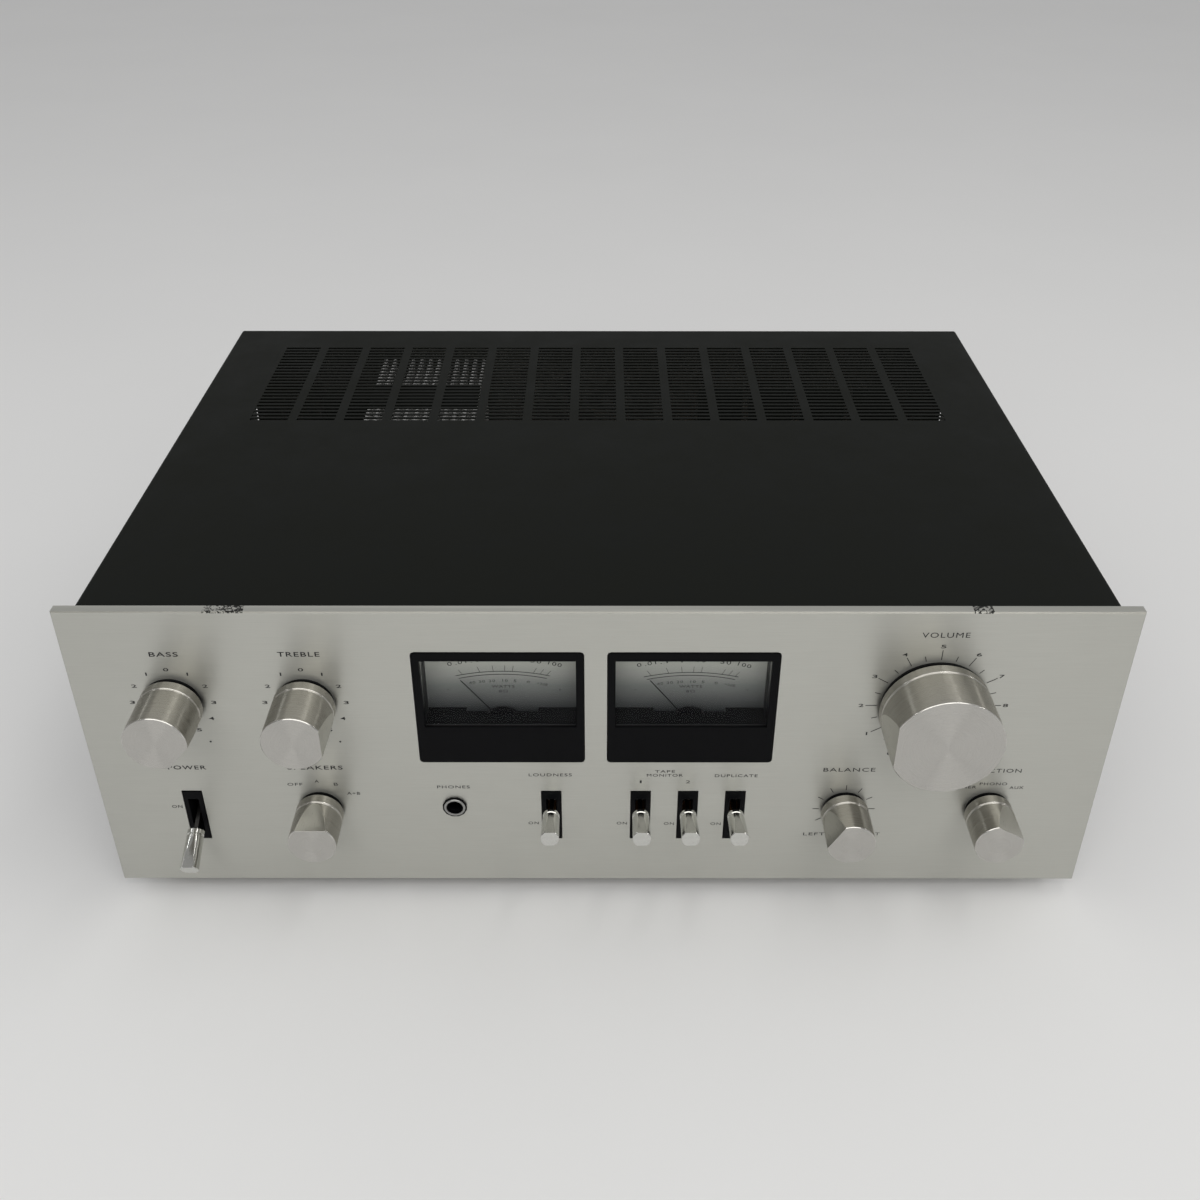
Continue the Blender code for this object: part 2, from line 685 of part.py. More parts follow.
def make_feet():
    top = BASE_BOTTOM - CLEAR
    profile = [(0, 0), (FOOT_RADIUS - FOOT_CHAMFER, 0), (FOOT_RADIUS, FOOT_CHAMFER)]
    profile += [(FOOT_RADIUS, top), (0, top)]
    for side, x in (("left", FOOT_INSET_X - CASE_SIDE), ("right", CASE_SIDE - FOOT_INSET_X)):
        for end, y in (("front", FOOT_INSET_FRONT), ("rear", CASE_BACK - FOOT_INSET_BACK)):
            at = (x, y, 0)
            piece(f"foot_{end}_{side}", "rubber", turned(profile, FOOT_SIDES, "Z"), at)


def shaft_front(reach):
    """How far a shaft reaches in front of the panel, inside a knob."""
    return reach - KNOB_FACE_WALL - CLEAR


def make_knob(name, radius, reach, flat, sides, pointer):
    """A turned knob: base band, groove, barrel and a flat that slopes in to the front face."""
    x, z = control_places()[name]
    groove = -(KNOB_GAP + KNOB_GROOVE_AT)
    barrel = groove - KNOB_GROOVE_WIDTH
    bore_end = -(reach - KNOB_FACE_WALL)
    profile = [
        (BORE_RADIUS, -KNOB_GAP),
        (radius, -KNOB_GAP),
        (radius, groove),
        (radius - KNOB_GROOVE_DEPTH, (groove + barrel) / 2),
        (radius, barrel),
        (radius, -reach + KNOB_CHAMFER),
        (radius - KNOB_CHAMFER, -reach),
        (0, -reach),
        (0, bore_end),
        (BORE_RADIUS, bore_end),
    ]
    knob = piece(f"{name}_knob", "spun_aluminium", turned(profile, sides), (x, 0, z), (0, pointer, 0))
    slope = flat / (reach + barrel)
    over = OVERRUN
    wedge = [
        (barrel, radius),
        (-reach - over, radius - flat - slope * over),
        (-reach - over, radius + over),
        (barrel, radius + over),
    ]
    cut(knob, [prism(wedge, "X", -radius, radius)])


def make_knobs():
    tone = (TONE_KNOB_RADIUS, TONE_KNOB_REACH, TONE_KNOB_FLAT, TONE_KNOB_SIDES)
    small = (SMALL_KNOB_RADIUS, SMALL_KNOB_REACH, SMALL_KNOB_FLAT, SMALL_KNOB_SIDES)
    volume = (VOLUME_KNOB_RADIUS, VOLUME_KNOB_REACH, VOLUME_KNOB_FLAT, VOLUME_KNOB_SIDES)
    make_knob("bass", *tone, BASS_POINTER)
    make_knob("treble", *tone, TREBLE_POINTER)
    make_knob("volume", *volume, VOLUME_POINTER)
    make_knob("speakers", *small, SPEAKERS_POINTER)
    make_knob("balance", *small, BALANCE_POINTER)
    make_knob("function", *small, FUNCTION_POINTER)


def make_shafts():
    reaches = {"bass": TONE_KNOB_REACH, "treble": TONE_KNOB_REACH, "volume": VOLUME_KNOB_REACH}
    for name, (x, z) in control_places().items():
        front = -shaft_front(reaches.get(name, SMALL_KNOB_REACH))
        shape = rod(SHAFT_RADIUS, front, CONTROL_FRONT + SHAFT_IN_BODY, SHAFT_SIDES)
        piece(f"{name}_shaft", "zinc_steel", shape, (x, 0, z))


def control_profile(steps):
    """A bushing through both panels, with a blind bore for the shaft, and a body of (radius, back) steps."""
    bore_end = CONTROL_FRONT + SHAFT_IN_BODY + CLEAR
    profile = [(0, bore_end), (BORE_RADIUS, bore_end), (BORE_RADIUS, BUSHING_RECESS)]
    profile += [(BUSHING_RADIUS, BUSHING_RECESS), (BUSHING_RADIUS, CONTROL_FRONT)]
    front = CONTROL_FRONT
    for radius, back in steps:
        profile += [(radius, front), (radius, back)]
        front = back
    return profile + [(0, front)]


def make_controls():
    places = control_places()
    back = CONTROL_FRONT + TONE_POT_DEPTH
    middle = (BASS_X + TREBLE_X) / 2
    width = TREBLE_X - BASS_X + 2 * (TONE_POT_RADIUS + TONE_BOARD_MARGIN)
    pot = control_profile([(TONE_POT_RADIUS, back)])
    z = TONE_HEIGHT
    plate = plate_at(middle, z, width, TONE_BOARD_HEIGHT, back - CLEAR, back + BOARD_THICKNESS)
    board = piece("tone_control_board", "laminate", plate)
    add(board, [turned(pot, CONTROL_SIDES, "Y", (x, 0, z)) for x in (BASS_X, TREBLE_X)])

    x, z = places["volume"]
    first = CONTROL_FRONT + VOLUME_POT_DEPTH - VOLUME_GANG_DEPTH
    steps = [(VOLUME_POT_RADIUS, first), (VOLUME_POT_RADIUS - VOLUME_GANG_STEP, first + VOLUME_GANG_DEPTH)]
    piece("volume_control", "zinc_steel", turned(control_profile(steps), CONTROL_SIDES), (x, 0, z))

    x, z = places["balance"]
    steps = [(BALANCE_POT_RADIUS, CONTROL_FRONT + BALANCE_POT_DEPTH)]
    piece("balance_control", "zinc_steel", turned(control_profile(steps), CONTROL_SIDES), (x, 0, z))

    for name in ("speakers", "function"):
        x, z = places[name]
        steps = [(SWITCH_PLATE_RADIUS, CONTROL_FRONT + SWITCH_PLATE_DEPTH)]
        for k in range(WAFER_COUNT):
            end = steps[-1][1] + WAFER_PITCH - WAFER_THICKNESS
            steps += [(SWITCH_CORE_RADIUS, end), (SWITCH_PLATE_RADIUS, end + WAFER_THICKNESS)]
        shape = turned(control_profile(steps), CONTROL_SIDES)
        piece(f"{name}_switch", "laminate", shape, (x, 0, z))


def make_lever_bezel(name, x):
    """A black frame in the panel, with a bevelled slot for the lever."""
    z = BEZEL_MIDDLE
    front = -BEZEL_PROUD
    back = PANEL_THICKNESS
    bezel = piece(f"{name}_bezel", "black_plastic", plate_at(x, z, BEZEL_WIDTH, BEZEL_HEIGHT, front, back))
    slot = plate_at(x, z, BEZEL_SLOT_WIDTH, BEZEL_SLOT_HEIGHT, front - OVERRUN, back + OVERRUN)
    for vertex in slot.verts:
        if vertex.co.y < front:
            vertex.co.x += math.copysign(BEZEL_SLOT_FLARE, vertex.co.x - x)
            vertex.co.z += math.copysign(BEZEL_SLOT_FLARE, vertex.co.z - z)
    cut(bezel, [slot])


def lever_tip():
    """The chromed tip, turned about the lever's own axis, which points to -Y from the pivot."""
    radius = LEVER_TIP_RADIUS
    start = LEVER_TIP_START
    groove = start + LEVER_COLLAR
    end = LEVER_TIP_END
    low = radius - LEVER_GROOVE_DEPTH
    profile = [
        (0, -start),
        (radius - LEVER_GROOVE_WIDTH, -start),
        (radius, -start - LEVER_GROOVE_WIDTH),
        (radius, -groove),
        (low, -groove),
        (low, -groove - LEVER_GROOVE_WIDTH),
        (radius, -groove - LEVER_GROOVE_WIDTH),
        (radius, -end + LEVER_END_CHAMFER),
        (radius - LEVER_END_CHAMFER, -end),
        (0, -end),
    ]
    return turned(profile, LEVER_SIDES)


def lever_flats():
    """Two wedges that slope the top and the bottom of the tip in to its end."""
    start = -(LEVER_TIP_START + LEVER_FLAT_START)
    end = -LEVER_TIP_END
    radius = LEVER_TIP_RADIUS
    slope = LEVER_FLAT_DEPTH / (start - end)
    shapes = []
    for side in (1, -1):
        wedge = [
            (start, side * radius),
            (end - OVERRUN, side * (radius - LEVER_FLAT_DEPTH - slope * OVERRUN)),
            (end - OVERRUN, side * (radius + OVERRUN)),
            (start, side * (radius + OVERRUN)),
        ]
        shapes.append(prism(wedge, "X", -radius, radius))
    return shapes


def make_lever(name, x, angle):
    """Tip, arm, barrel and trunnions in one piece, with its origin on the pivot."""
    at = (x, LEVER_PIVOT_DEPTH, LEVER_PIVOT)
    arm_end = -(LEVER_TIP_START + LEVER_COLLAR / 2)
    arm = box(
        (-LEVER_ARM_WIDTH / 2, arm_end, -LEVER_ARM_HEIGHT / 2), (LEVER_ARM_WIDTH / 2, 0, LEVER_ARM_HEIGHT / 2)
    )
    lever = piece(f"{name}_lever", "chrome", lever_tip(), at, (angle, 0, 0))
    cut(lever, lever_flats())
    add(lever, [arm])
    half = LEVER_BARREL_WIDTH / 2
    out = half + CLEAR + TRUNNION_LENGTH
    barrel = [
        (0, -out),
        (TRUNNION_RADIUS, -out),
        (TRUNNION_RADIUS, -half),
        (LEVER_BARREL_RADIUS, -half),
        (LEVER_BARREL_RADIUS, half),
        (TRUNNION_RADIUS, half),
        (TRUNNION_RADIUS, out),
        (0, out),
    ]
    add(lever, [turned(barrel, LEVER_BARREL_SIDES, "X")])


def switch_housing(x, depth):
    """The block that holds a lever's pivot."""
    back = CONTROL_FRONT + depth
    return plate_at(x, LEVER_PIVOT, SWITCH_WIDTH, SWITCH_HEIGHT, CONTROL_FRONT, back)


def switch_cavities(x, depth):
    """The pocket that the lever swings in, and the cross hole for its trunnions."""
    z = LEVER_PIVOT
    width = LEVER_BARREL_WIDTH + 2 * CLEAR
    tall = SWITCH_HEIGHT - 2 * SWITCH_WALL
    back = CONTROL_FRONT + depth - SWITCH_BACK_WALL
    pocket = plate_at(x, z, width, tall, CONTROL_FRONT - OVERRUN, back)
    hole = width / 2 + TRUNNION_LENGTH + CLEAR
    at = (x, LEVER_PIVOT_DEPTH, z)
    return pocket, rod(TRUNNION_RADIUS + CLEAR, -hole, hole, LEVER_BARREL_SIDES, "X", at)


def make_lever_switches():
    places = lever_places()
    for name, x in places.items():
        make_lever_bezel(name, x)
        make_lever(name, x, LEVER_DOWN if name == "power" else LEVER_UP)
    switch = piece("power_switch", "black_plastic", switch_housing(places["power"], POWER_SWITCH_DEPTH))
    for shape in switch_cavities(places["power"], POWER_SWITCH_DEPTH):
        cut(switch, [shape])

    bank = [x for name, x in places.items() if name != "power"]
    front = CONTROL_FRONT + SWITCH_DEPTH - CLEAR
    half = SWITCH_HEIGHT / 2 + LEVER_BOARD_MARGIN
    z = LEVER_PIVOT
    low = (min(bank) - SWITCH_WIDTH / 2 - LEVER_BOARD_MARGIN, front, z - half)
    high = (max(bank) + SWITCH_WIDTH / 2 + LEVER_BOARD_MARGIN, front + BOARD_THICKNESS, z + half)
    board = piece("lever_switch_board", "laminate", box(low, high))
    add(board, [switch_housing(x, SWITCH_DEPTH) for x in bank])
    cavities = [switch_cavities(x, SWITCH_DEPTH) for x in bank]
    cut(board, [pocket for pocket, hole in cavities])
    cut(board, [hole for pocket, hole in cavities])


def make_phones_jack():
    """A ring and neck through both panels, a deep bore and a square body behind."""
    at = (JACK_X, 0, JACK_HEIGHT)
    neck_end = CONTROL_FRONT + CLEAR
    neck = [
        (JACK_BORE_RADIUS, -JACK_PROUD),
        (JACK_RADIUS, -JACK_PROUD),
        (JACK_RADIUS, -CLEAR),
        (JACK_NECK_RADIUS, -CLEAR),
        (JACK_NECK_RADIUS, neck_end),
        (JACK_BORE_RADIUS, neck_end),
    ]
    end = CONTROL_FRONT + JACK_BODY_DEPTH
    body = plate_at(JACK_X, at[2], JACK_BODY_WIDTH, JACK_BODY_WIDTH, CONTROL_FRONT, end)
    jack = piece("phones_jack", "black_plastic", body)
    cut(jack, [rod(JACK_BORE_RADIUS, CONTROL_FRONT - OVERRUN, JACK_BORE_DEPTH, JACK_SIDES, "Y", at)])
    add(jack, [turned(neck, JACK_SIDES, "Y", at)])


def make_meter(side, x):
    """A bezel with a window, a dial on the movement, and a needle on its spindle."""
    bottom = METER_MIDDLE - METER_HEIGHT / 2
    top = METER_MIDDLE + METER_HEIGHT / 2
    back = METER_BEZEL_DEPTH
    outline = rounded(x, METER_MIDDLE, METER_WIDTH, METER_HEIGHT, METER_CORNER)
    bezel = piece(f"{side}_meter_bezel", "black_plastic", prism(outline, "Y", -METER_PROUD, back))
    open_top = top - METER_TOP_WALL
    open_middle = open_top - METER_OPENING_HEIGHT / 2
    open_width = METER_WIDTH - 2 * METER_SIDE_WALL
    opening = plate_at(
        x, open_middle, open_width, METER_OPENING_HEIGHT, -METER_PROUD - OVERRUN, back + OVERRUN
    )
    cut(bezel, [opening])
    pivot = METER_PIVOT
    needle_front = back + CLEAR - NEEDLE_GAP - NEEDLE_HUB_THICKNESS
    pocket_front = needle_front - 2 * CLEAR
    pocket_half = NEEDLE_TAIL + NEEDLE_HUB_RADIUS + PIVOT_COVER_RADIUS
    pocket = box(
        (x - pocket_half, pocket_front, pivot - NEEDLE_TAIL - NEEDLE_HUB_RADIUS),
        (x + pocket_half, back + OVERRUN, open_top - METER_OPENING_HEIGHT + OVERRUN),
    )
    cut(bezel, [pocket])
    cover_start = pocket_front - PIVOT_COVER_DEPTH
    add(bezel, [rod(PIVOT_COVER_RADIUS, cover_start, pocket_front, PIVOT_COVER_SIDES, "Y", (x, 0, pivot))])

    window = plate_at(
        x,
        open_middle,
        open_width - 2 * CLEAR,
        METER_OPENING_HEIGHT - 2 * CLEAR,
        WINDOW_SET_BACK,
        WINDOW_SET_BACK + WINDOW_THICKNESS,
    )
    piece(f"{side}_meter_window", "clear_plastic", window)

    dial_front = back + CLEAR
    dial_back = dial_front + DIAL_THICKNESS
    dial_width = METER_WIDTH - 2 * DIAL_MARGIN
    dial_height = METER_HEIGHT - 2 * DIAL_MARGIN
    shape = plate_at(x, METER_MIDDLE, dial_width, dial_height, dial_front, dial_back)
    dial = piece(f"{side}_meter_dial", "dial_card", shape)
    hole = SPINDLE_RADIUS + CLEAR
    at = (x, 0, pivot)
    cut(dial, [rod(hole, dial_front - OVERRUN, dial_back + OVERRUN, STANDOFF_SIDES, "Y", at)])

    case_front = dial_back + CLEAR
    case_back = case_front + MOVEMENT_DEPTH
    shape = prism(rounded(x, METER_MIDDLE, dial_width, dial_height, METER_CORNER), "Y", case_front, case_back)
    movement = piece(f"{side}_meter_movement", "black_plastic", shape)
    magnet_end = case_back + MAGNET_DEPTH
    magnet = rod(MAGNET_RADIUS, case_back - CLEAR, magnet_end, MAGNET_SIDES, "Y", (x, 0, METER_MIDDLE))
    add(movement, [magnet])
    bearing_end = case_front + SPINDLE_IN_MOVEMENT + CLEAR
    cut(movement, [rod(hole, case_front - OVERRUN, bearing_end, STANDOFF_SIDES, "Y", at)])
    make_needle(side, x, pivot, needle_front, case_front + SPINDLE_IN_MOVEMENT)


def make_needle(side, x, pivot, front, spindle_end):
    """A tapered blade on a hub, with its origin on the spindle."""
    hub = [
        (0, front),
        (NEEDLE_HUB_RADIUS, front),
        (NEEDLE_HUB_RADIUS, front + NEEDLE_HUB_THICKNESS),
        (SPINDLE_RADIUS, front + NEEDLE_HUB_THICKNESS),
        (SPINDLE_RADIUS, spindle_end),
        (0, spindle_end),
    ]
    needle = piece(
        f"{side}_meter_needle", "black_plastic", turned(hub, SHAFT_SIDES), (x, 0, pivot), (0, NEEDLE_REST, 0)
    )
    middle = front + NEEDLE_HUB_THICKNESS / 2
    blade = [
        (-NEEDLE_ROOT_WIDTH, -NEEDLE_TAIL),
        (NEEDLE_ROOT_WIDTH, -NEEDLE_TAIL),
        (NEEDLE_ROOT_WIDTH / 2, 0),
        (NEEDLE_TIP_WIDTH / 2, NEEDLE_LENGTH),
        (-NEEDLE_TIP_WIDTH / 2, NEEDLE_LENGTH),
        (-NEEDLE_ROOT_WIDTH / 2, 0),
    ]
    add(needle, [prism(blade, "Y", middle - NEEDLE_THICKNESS / 2, middle + NEEDLE_THICKNESS / 2)])


def make_transformer():
    """A laminated core on a bracket, with the winding bulging out front and back."""
    x = TRANSFORMER_INSET - CASE_SIDE
    y = TRANSFORMER_Y
    core_bottom = FLOOR + BRACKET_THICKNESS - CLEAR
    middle = core_bottom + CORE_HEIGHT / 2
    low = (x - CORE_WIDTH / 2, y - CORE_DEPTH / 2, core_bottom)
    high = (x + CORE_WIDTH / 2, y + CORE_DEPTH / 2, core_bottom + CORE_HEIGHT)
    core = piece("power_transformer", "lamination", box(low, high))
    reach = CORE_DEPTH / 2 + COIL_OVERHANG
    coil = rounded(x, middle, COIL_WIDTH, COIL_HEIGHT, COIL_CORNER)
    add(core, [prism(coil, "Y", y - reach, y + reach)])
    low = (x - BRACKET_WIDTH / 2, y - BRACKET_DEPTH / 2, FLOOR)
    high = (x + BRACKET_WIDTH / 2, y + BRACKET_DEPTH / 2, FLOOR + BRACKET_THICKNESS)
    add(core, [box(low, high)])


def make_board(name, left, right, front):
    """A circuit board on four standoffs."""
    board = piece(name, "laminate", box((left, front, BOARD_BOTTOM), (right, BOARD_BACK, BOARD_TOP)))
    posts = []
    for x in (left + STANDOFF_INSET, right - STANDOFF_INSET):
        for y in (front + STANDOFF_INSET, BOARD_BACK - STANDOFF_INSET):
            posts.append(
                rod(STANDOFF_RADIUS, FLOOR, BOARD_BOTTOM + CLEAR, STANDOFF_SIDES, "Z", (x, y, 0))
            )
    add(board, posts)


def make_capacitors():
    bottom = BOARD_TOP + CLEAR
    top = bottom + CAPACITOR_HEIGHT
    profile = [
        (0, bottom),
        (CAPACITOR_RADIUS, bottom),
        (CAPACITOR_RADIUS, top - CAPACITOR_RIM),
        (CAPACITOR_RADIUS - CAPACITOR_RIM, top),
        (CAPACITOR_RADIUS - 2 * CAPACITOR_RIM, top - CAPACITOR_RIM),
        (0, top - CAPACITOR_RIM),
    ]
    for side, x in (("left", LEFT_CAPACITOR_X), ("right", RIGHT_CAPACITOR_X)):
        shape = turned(profile, CAPACITOR_SIDES, "Z")
        piece(f"{side}_filter_capacitor", "sleeve", shape, (x, POWER_BOARD_FRONT + CAPACITOR_INSET, 0))


def make_heat_sink(name, plate_y, side):
    """An upright comb: a plate with fins on one side, extruded to just below the bonnet."""
    left = SINK_X - SINK_WIDTH / 2
    step = (SINK_WIDTH - FIN_THICKNESS) / (SINK_FINS - 1)
    root = plate_y + side * SINK_PLATE
    tip = root + side * FIN_DEPTH
    outline = [(left, plate_y)]
    for k in range(SINK_FINS):
        x = left + k * step
        if k:
            outline.append((x, root))
        outline += [(x, tip), (x + FIN_THICKNESS, tip)]
        if k < SINK_FINS - 1:
            outline.append((x + FIN_THICKNESS, root))
    outline.append((left + SINK_WIDTH, plate_y))
    shape = prism(outline, "Z", BOARD_TOP + CLEAR, CEILING - SINK_BELOW_BONNET)
    piece(name, "bare_aluminium", shape)


def make_input_jack_strip():
    """A strip with two rows of phono jacks and a ground post."""
    z = JACK_STRIP_MIDDLE
    front = REAR_OUTER + CLEAR
    back = front + STRIP_THICKNESS
    shape = plate_at(JACK_STRIP_X, z, JACK_STRIP_WIDTH, JACK_STRIP_HEIGHT, front, back)
    strip = piece("input_jack_strip", "black_plastic", shape)
    socket = [
        (0, back - STRIP_THICKNESS / 2),
        (PHONO_RADIUS, back - STRIP_THICKNESS / 2),
        (PHONO_RADIUS, back + PHONO_REACH),
        (PHONO_BORE, back + PHONO_REACH),
        (PHONO_BORE, back),
        (0, back),
    ]
    shapes = []
    for column in range(PHONO_COLUMNS):
        x = JACK_STRIP_X + (column - (PHONO_COLUMNS - 1) / 2) * PHONO_PITCH_X
        for row in (-1, 1):
            if (column, row) == (0, -1):
                continue
            at = (x, 0, z + row * PHONO_PITCH_Z / 2)
            shapes.append(turned(socket, PHONO_SIDES, "Y", at))
    x = JACK_STRIP_X - (PHONO_COLUMNS - 1) / 2 * PHONO_PITCH_X
    at = (x, 0, z - PHONO_PITCH_Z / 2)
    post_end = back + GROUND_POST_REACH
    shapes.append(rod(GROUND_POST_RADIUS, back - STRIP_THICKNESS / 2, post_end, STANDOFF_SIDES, "Y", at))
    add(strip, shapes)


def make_speaker_terminals():
    """A moulded strip of screw terminals, with a rib on each side of every terminal."""
    z = TERMINALS_MIDDLE
    front = REAR_OUTER + CLEAR
    left = TERMINALS_X - TERMINALS_WIDTH / 2
    step = (TERMINALS_WIDTH - TERMINAL_RIB) / TERMINAL_COUNT
    base = front + TERMINALS_DEPTH
    reach = front + TERMINAL_RIB_REACH
    outline = [(left, front)]
    for k in range(TERMINAL_COUNT + 1):
        x = left + k * step
        if k:
            outline.append((x, base))
        outline += [(x, reach), (x + TERMINAL_RIB, reach)]
        if k < TERMINAL_COUNT:
            outline.append((x + TERMINAL_RIB, base))
    outline.append((left + TERMINALS_WIDTH, front))
    shape = prism(outline, "Z", z - TERMINALS_HEIGHT / 2, z + TERMINALS_HEIGHT / 2)
    piece("speaker_terminals", "black_plastic", shape)


def outlet_places():
    return [OUTLET_X + (k - (OUTLET_COUNT - 1) / 2) * OUTLET_PITCH for k in range(OUTLET_COUNT)]


def make_outlet_block():
    """A cover plate with a socket body behind it for each mains outlet."""
    z = OUTLET_MIDDLE
    front = REAR_OUTER + CLEAR
    back = front + OUTLET_DEPTH
    shape = plate_at(OUTLET_X, z, OUTLET_WIDTH, OUTLET_HEIGHT, front, back)
    block = piece("outlet_block", "black_plastic", shape)
    bodies = []
    slots = []
    for x in outlet_places():
        width = OUTLET_PITCH - WINDOW_MARGIN
        tall = OUTLET_HEIGHT - 2 * WINDOW_MARGIN
        bodies.append(plate_at(x, z, width, tall, front - OUTLET_BODY_DEPTH, front + CLEAR))
        for side in (-1, 1):
            middle = x + side * OUTLET_SLOT_PITCH / 2
            slots.append(
                plate_at(
                    middle, z, OUTLET_SLOT_WIDTH, OUTLET_SLOT_HEIGHT, back - OUTLET_SLOT_DEPTH, back + OVERRUN
                )
            )
    add(block, bodies)
    cut(block, slots)


def make_cord_gland():
    """The moulded bush that the mains lead would leave through."""
    front = REAR_INNER - CLEAR - GLAND_INSIDE
    outside = REAR_OUTER + CLEAR
    end = outside + GLAND_REACH
    profile = [
        (GLAND_BORE, front),
        (GLAND_NECK, front),
        (GLAND_NECK, outside),
        (GLAND_RADIUS, outside),
        (GLAND_RADIUS, outside + GLAND_FLANGE),
        (GLAND_NECK, end),
        (GLAND_BORE, end),
    ]
    piece("cord_gland", "black_plastic", turned(profile, GLAND_SIDES), GLAND_PLACE)


def clear_scene():
    for obj in list(bpy.data.objects):
        bpy.data.objects.remove(obj)
    frame = bpy.data.objects.new("amplifier_frame", None)
    bpy.context.collection.objects.link(frame)
    frame.location = (0, FRAME_Y, 0)


def main():
    clear_scene()
    make_front_panel()
    make_sub_panel()
    make_chassis_base()
    make_rear_panel()
    make_top_cover()
    make_feet()
    make_knobs()
    make_shafts()
    make_controls()
    make_lever_switches()
    make_phones_jack()
    make_meter("left", LEFT_METER_X)
    make_meter("right", RIGHT_METER_X)
    make_transformer()
    board_side = CASE_SIDE - BOARD_SIDE_INSET
    make_board("power_amp_board", -board_side, POWER_BOARD_RIGHT, POWER_BOARD_FRONT)
    make_board("preamp_board", PREAMP_BOARD_LEFT, board_side, PREAMP_BOARD_FRONT)
    make_capacitors()
    make_heat_sink("rear_heat_sink", REAR_SINK_PLATE_Y, 1)
    make_heat_sink("front_heat_sink", FRONT_SINK_PLATE_Y, -1)
    make_input_jack_strip()
    make_speaker_terminals()
    make_outlet_block()
    make_cord_gland()


main()
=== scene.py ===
import json
import math

import bmesh
import bpy
from mathutils import Matrix, Vector


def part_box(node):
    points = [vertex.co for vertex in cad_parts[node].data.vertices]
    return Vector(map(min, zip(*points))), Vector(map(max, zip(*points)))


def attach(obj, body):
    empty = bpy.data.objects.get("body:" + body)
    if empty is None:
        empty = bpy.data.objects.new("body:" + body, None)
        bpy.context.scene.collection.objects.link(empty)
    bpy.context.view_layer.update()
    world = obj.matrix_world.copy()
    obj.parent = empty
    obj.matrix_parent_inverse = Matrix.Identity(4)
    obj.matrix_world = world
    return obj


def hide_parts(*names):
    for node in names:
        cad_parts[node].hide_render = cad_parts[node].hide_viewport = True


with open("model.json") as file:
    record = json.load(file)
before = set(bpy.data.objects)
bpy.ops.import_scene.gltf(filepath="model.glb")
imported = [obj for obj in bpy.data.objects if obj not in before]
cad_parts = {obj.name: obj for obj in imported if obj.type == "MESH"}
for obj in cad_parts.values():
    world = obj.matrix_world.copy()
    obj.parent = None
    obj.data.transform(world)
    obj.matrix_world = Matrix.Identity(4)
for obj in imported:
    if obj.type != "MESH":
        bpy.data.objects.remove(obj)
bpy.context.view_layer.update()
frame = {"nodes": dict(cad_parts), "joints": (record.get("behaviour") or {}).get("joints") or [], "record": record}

MM = 0.001
SHARP_ANGLE = math.radians(28)
SOFT_ANGLE = math.radians(30)
PANEL_SOFTNESS = 0.00012

# Camera, as the photograph was taken
CAMERA_PLACE = (0.0007, -0.5451, 0.4264)
CAMERA_TILT = math.radians(56.567)
CAMERA_ROLL = math.radians(0.036)
CAMERA_LENS = 38.745

# Knobs: radius, gap to the panel, reach from the panel, depth of the flat at the front face,
# pointer from upright in degrees, sides
KNOB_SIZES = {
    "bass": (0.0125, 0.0026, 0.0263, 0.0019, 130, 96),
    "treble": (0.0125, 0.0026, 0.0263, 0.0019, 90, 96),
    "volume": (0.02225, 0.0028, 0.0268, 0.0024, -90, 128),
    "speakers": (0.010, 0.0024, 0.022, 0.0024, 0, 80),
    "balance": (0.010, 0.0024, 0.022, 0.0024, -60, 80),
    "function": (0.010, 0.0024, 0.022, 0.0024, 30, 80),
}
KNOB_GROOVE_AT = 0.0044
KNOB_GROOVE_WIDTH = 0.0009
KNOB_GROOVE_DEPTH = 0.0005
KNOB_CHAMFER = 0.0003
KNOB_WALL = 0.005
KNOB_BORE = 0.0031
KNOB_BACK = 0.0002
KNOB_LIP = 0.00011
KNOB_SOFTNESS = 0.00009
# Black discs in the gaps behind the knobs: painted shadow
GAP_SHADE_INSET = 0.0008
GAP_SHADE_SPACE = 0.0016
GAP_SHADE_BORE = 0.0036

# Levers
LEVER_NAMES = ("power", "loudness", "tape_one", "tape_two", "duplicate")
LEVER_DOWN = math.radians(24.5)
LEVER_UP = math.radians(-10.5)
TIP_START = 0.0162
TIP_END = 0.0340
TIP_RADIUS = 0.00355
TIP_END_RADIUS = 0.00380
TIP_COLLAR = 0.0022
TIP_COLLAR_CHAMFER = 0.0004
TIP_GROOVE_DEPTH = 0.0005
TIP_GROOVE_WIDTH = 0.0009
TIP_FLAT_START = 0.0044
TIP_FLAT_DEPTH = 0.0005
TIP_CHAMFER = 0.0003
TIP_SIDES = 64
TIP_SOFTNESS = 0.0001
ARM_WIDTH = 0.0016
ARM_HEIGHT = 0.0024
BARREL_RADIUS = 0.0024
BARREL_HALF = 0.0022
TRUNNION_RADIUS = 0.0010
TRUNNION_LENGTH = 0.0015

# Meter dials: a weak painted glow, though no lamp lights them, and the fade, darker towards the bottom, as places
# from foot to head with their colours
DIAL_PAINTED_GLOW = 0.09
DIAL_FADE_FOOT = 0.016
DIAL_FADE_HEIGHT = 0.036
DIAL_FADE = (
    (0.00, (0.022, 0.024, 0.026, 1)),
    (0.12, (0.055, 0.058, 0.058, 1)),
    (0.35, (0.125, 0.13, 0.125, 1)),
    (0.58, (0.30, 0.305, 0.28, 1)),
    (0.76, (0.46, 0.465, 0.42, 1)),
    (1.00, (0.62, 0.62, 0.56, 1)),
)

# Nicks on the panel's top edge, in millimetres
NICKS = ((-151.8, -136.1), (144.1, 151.8))
NICK_FOOT = 149.9

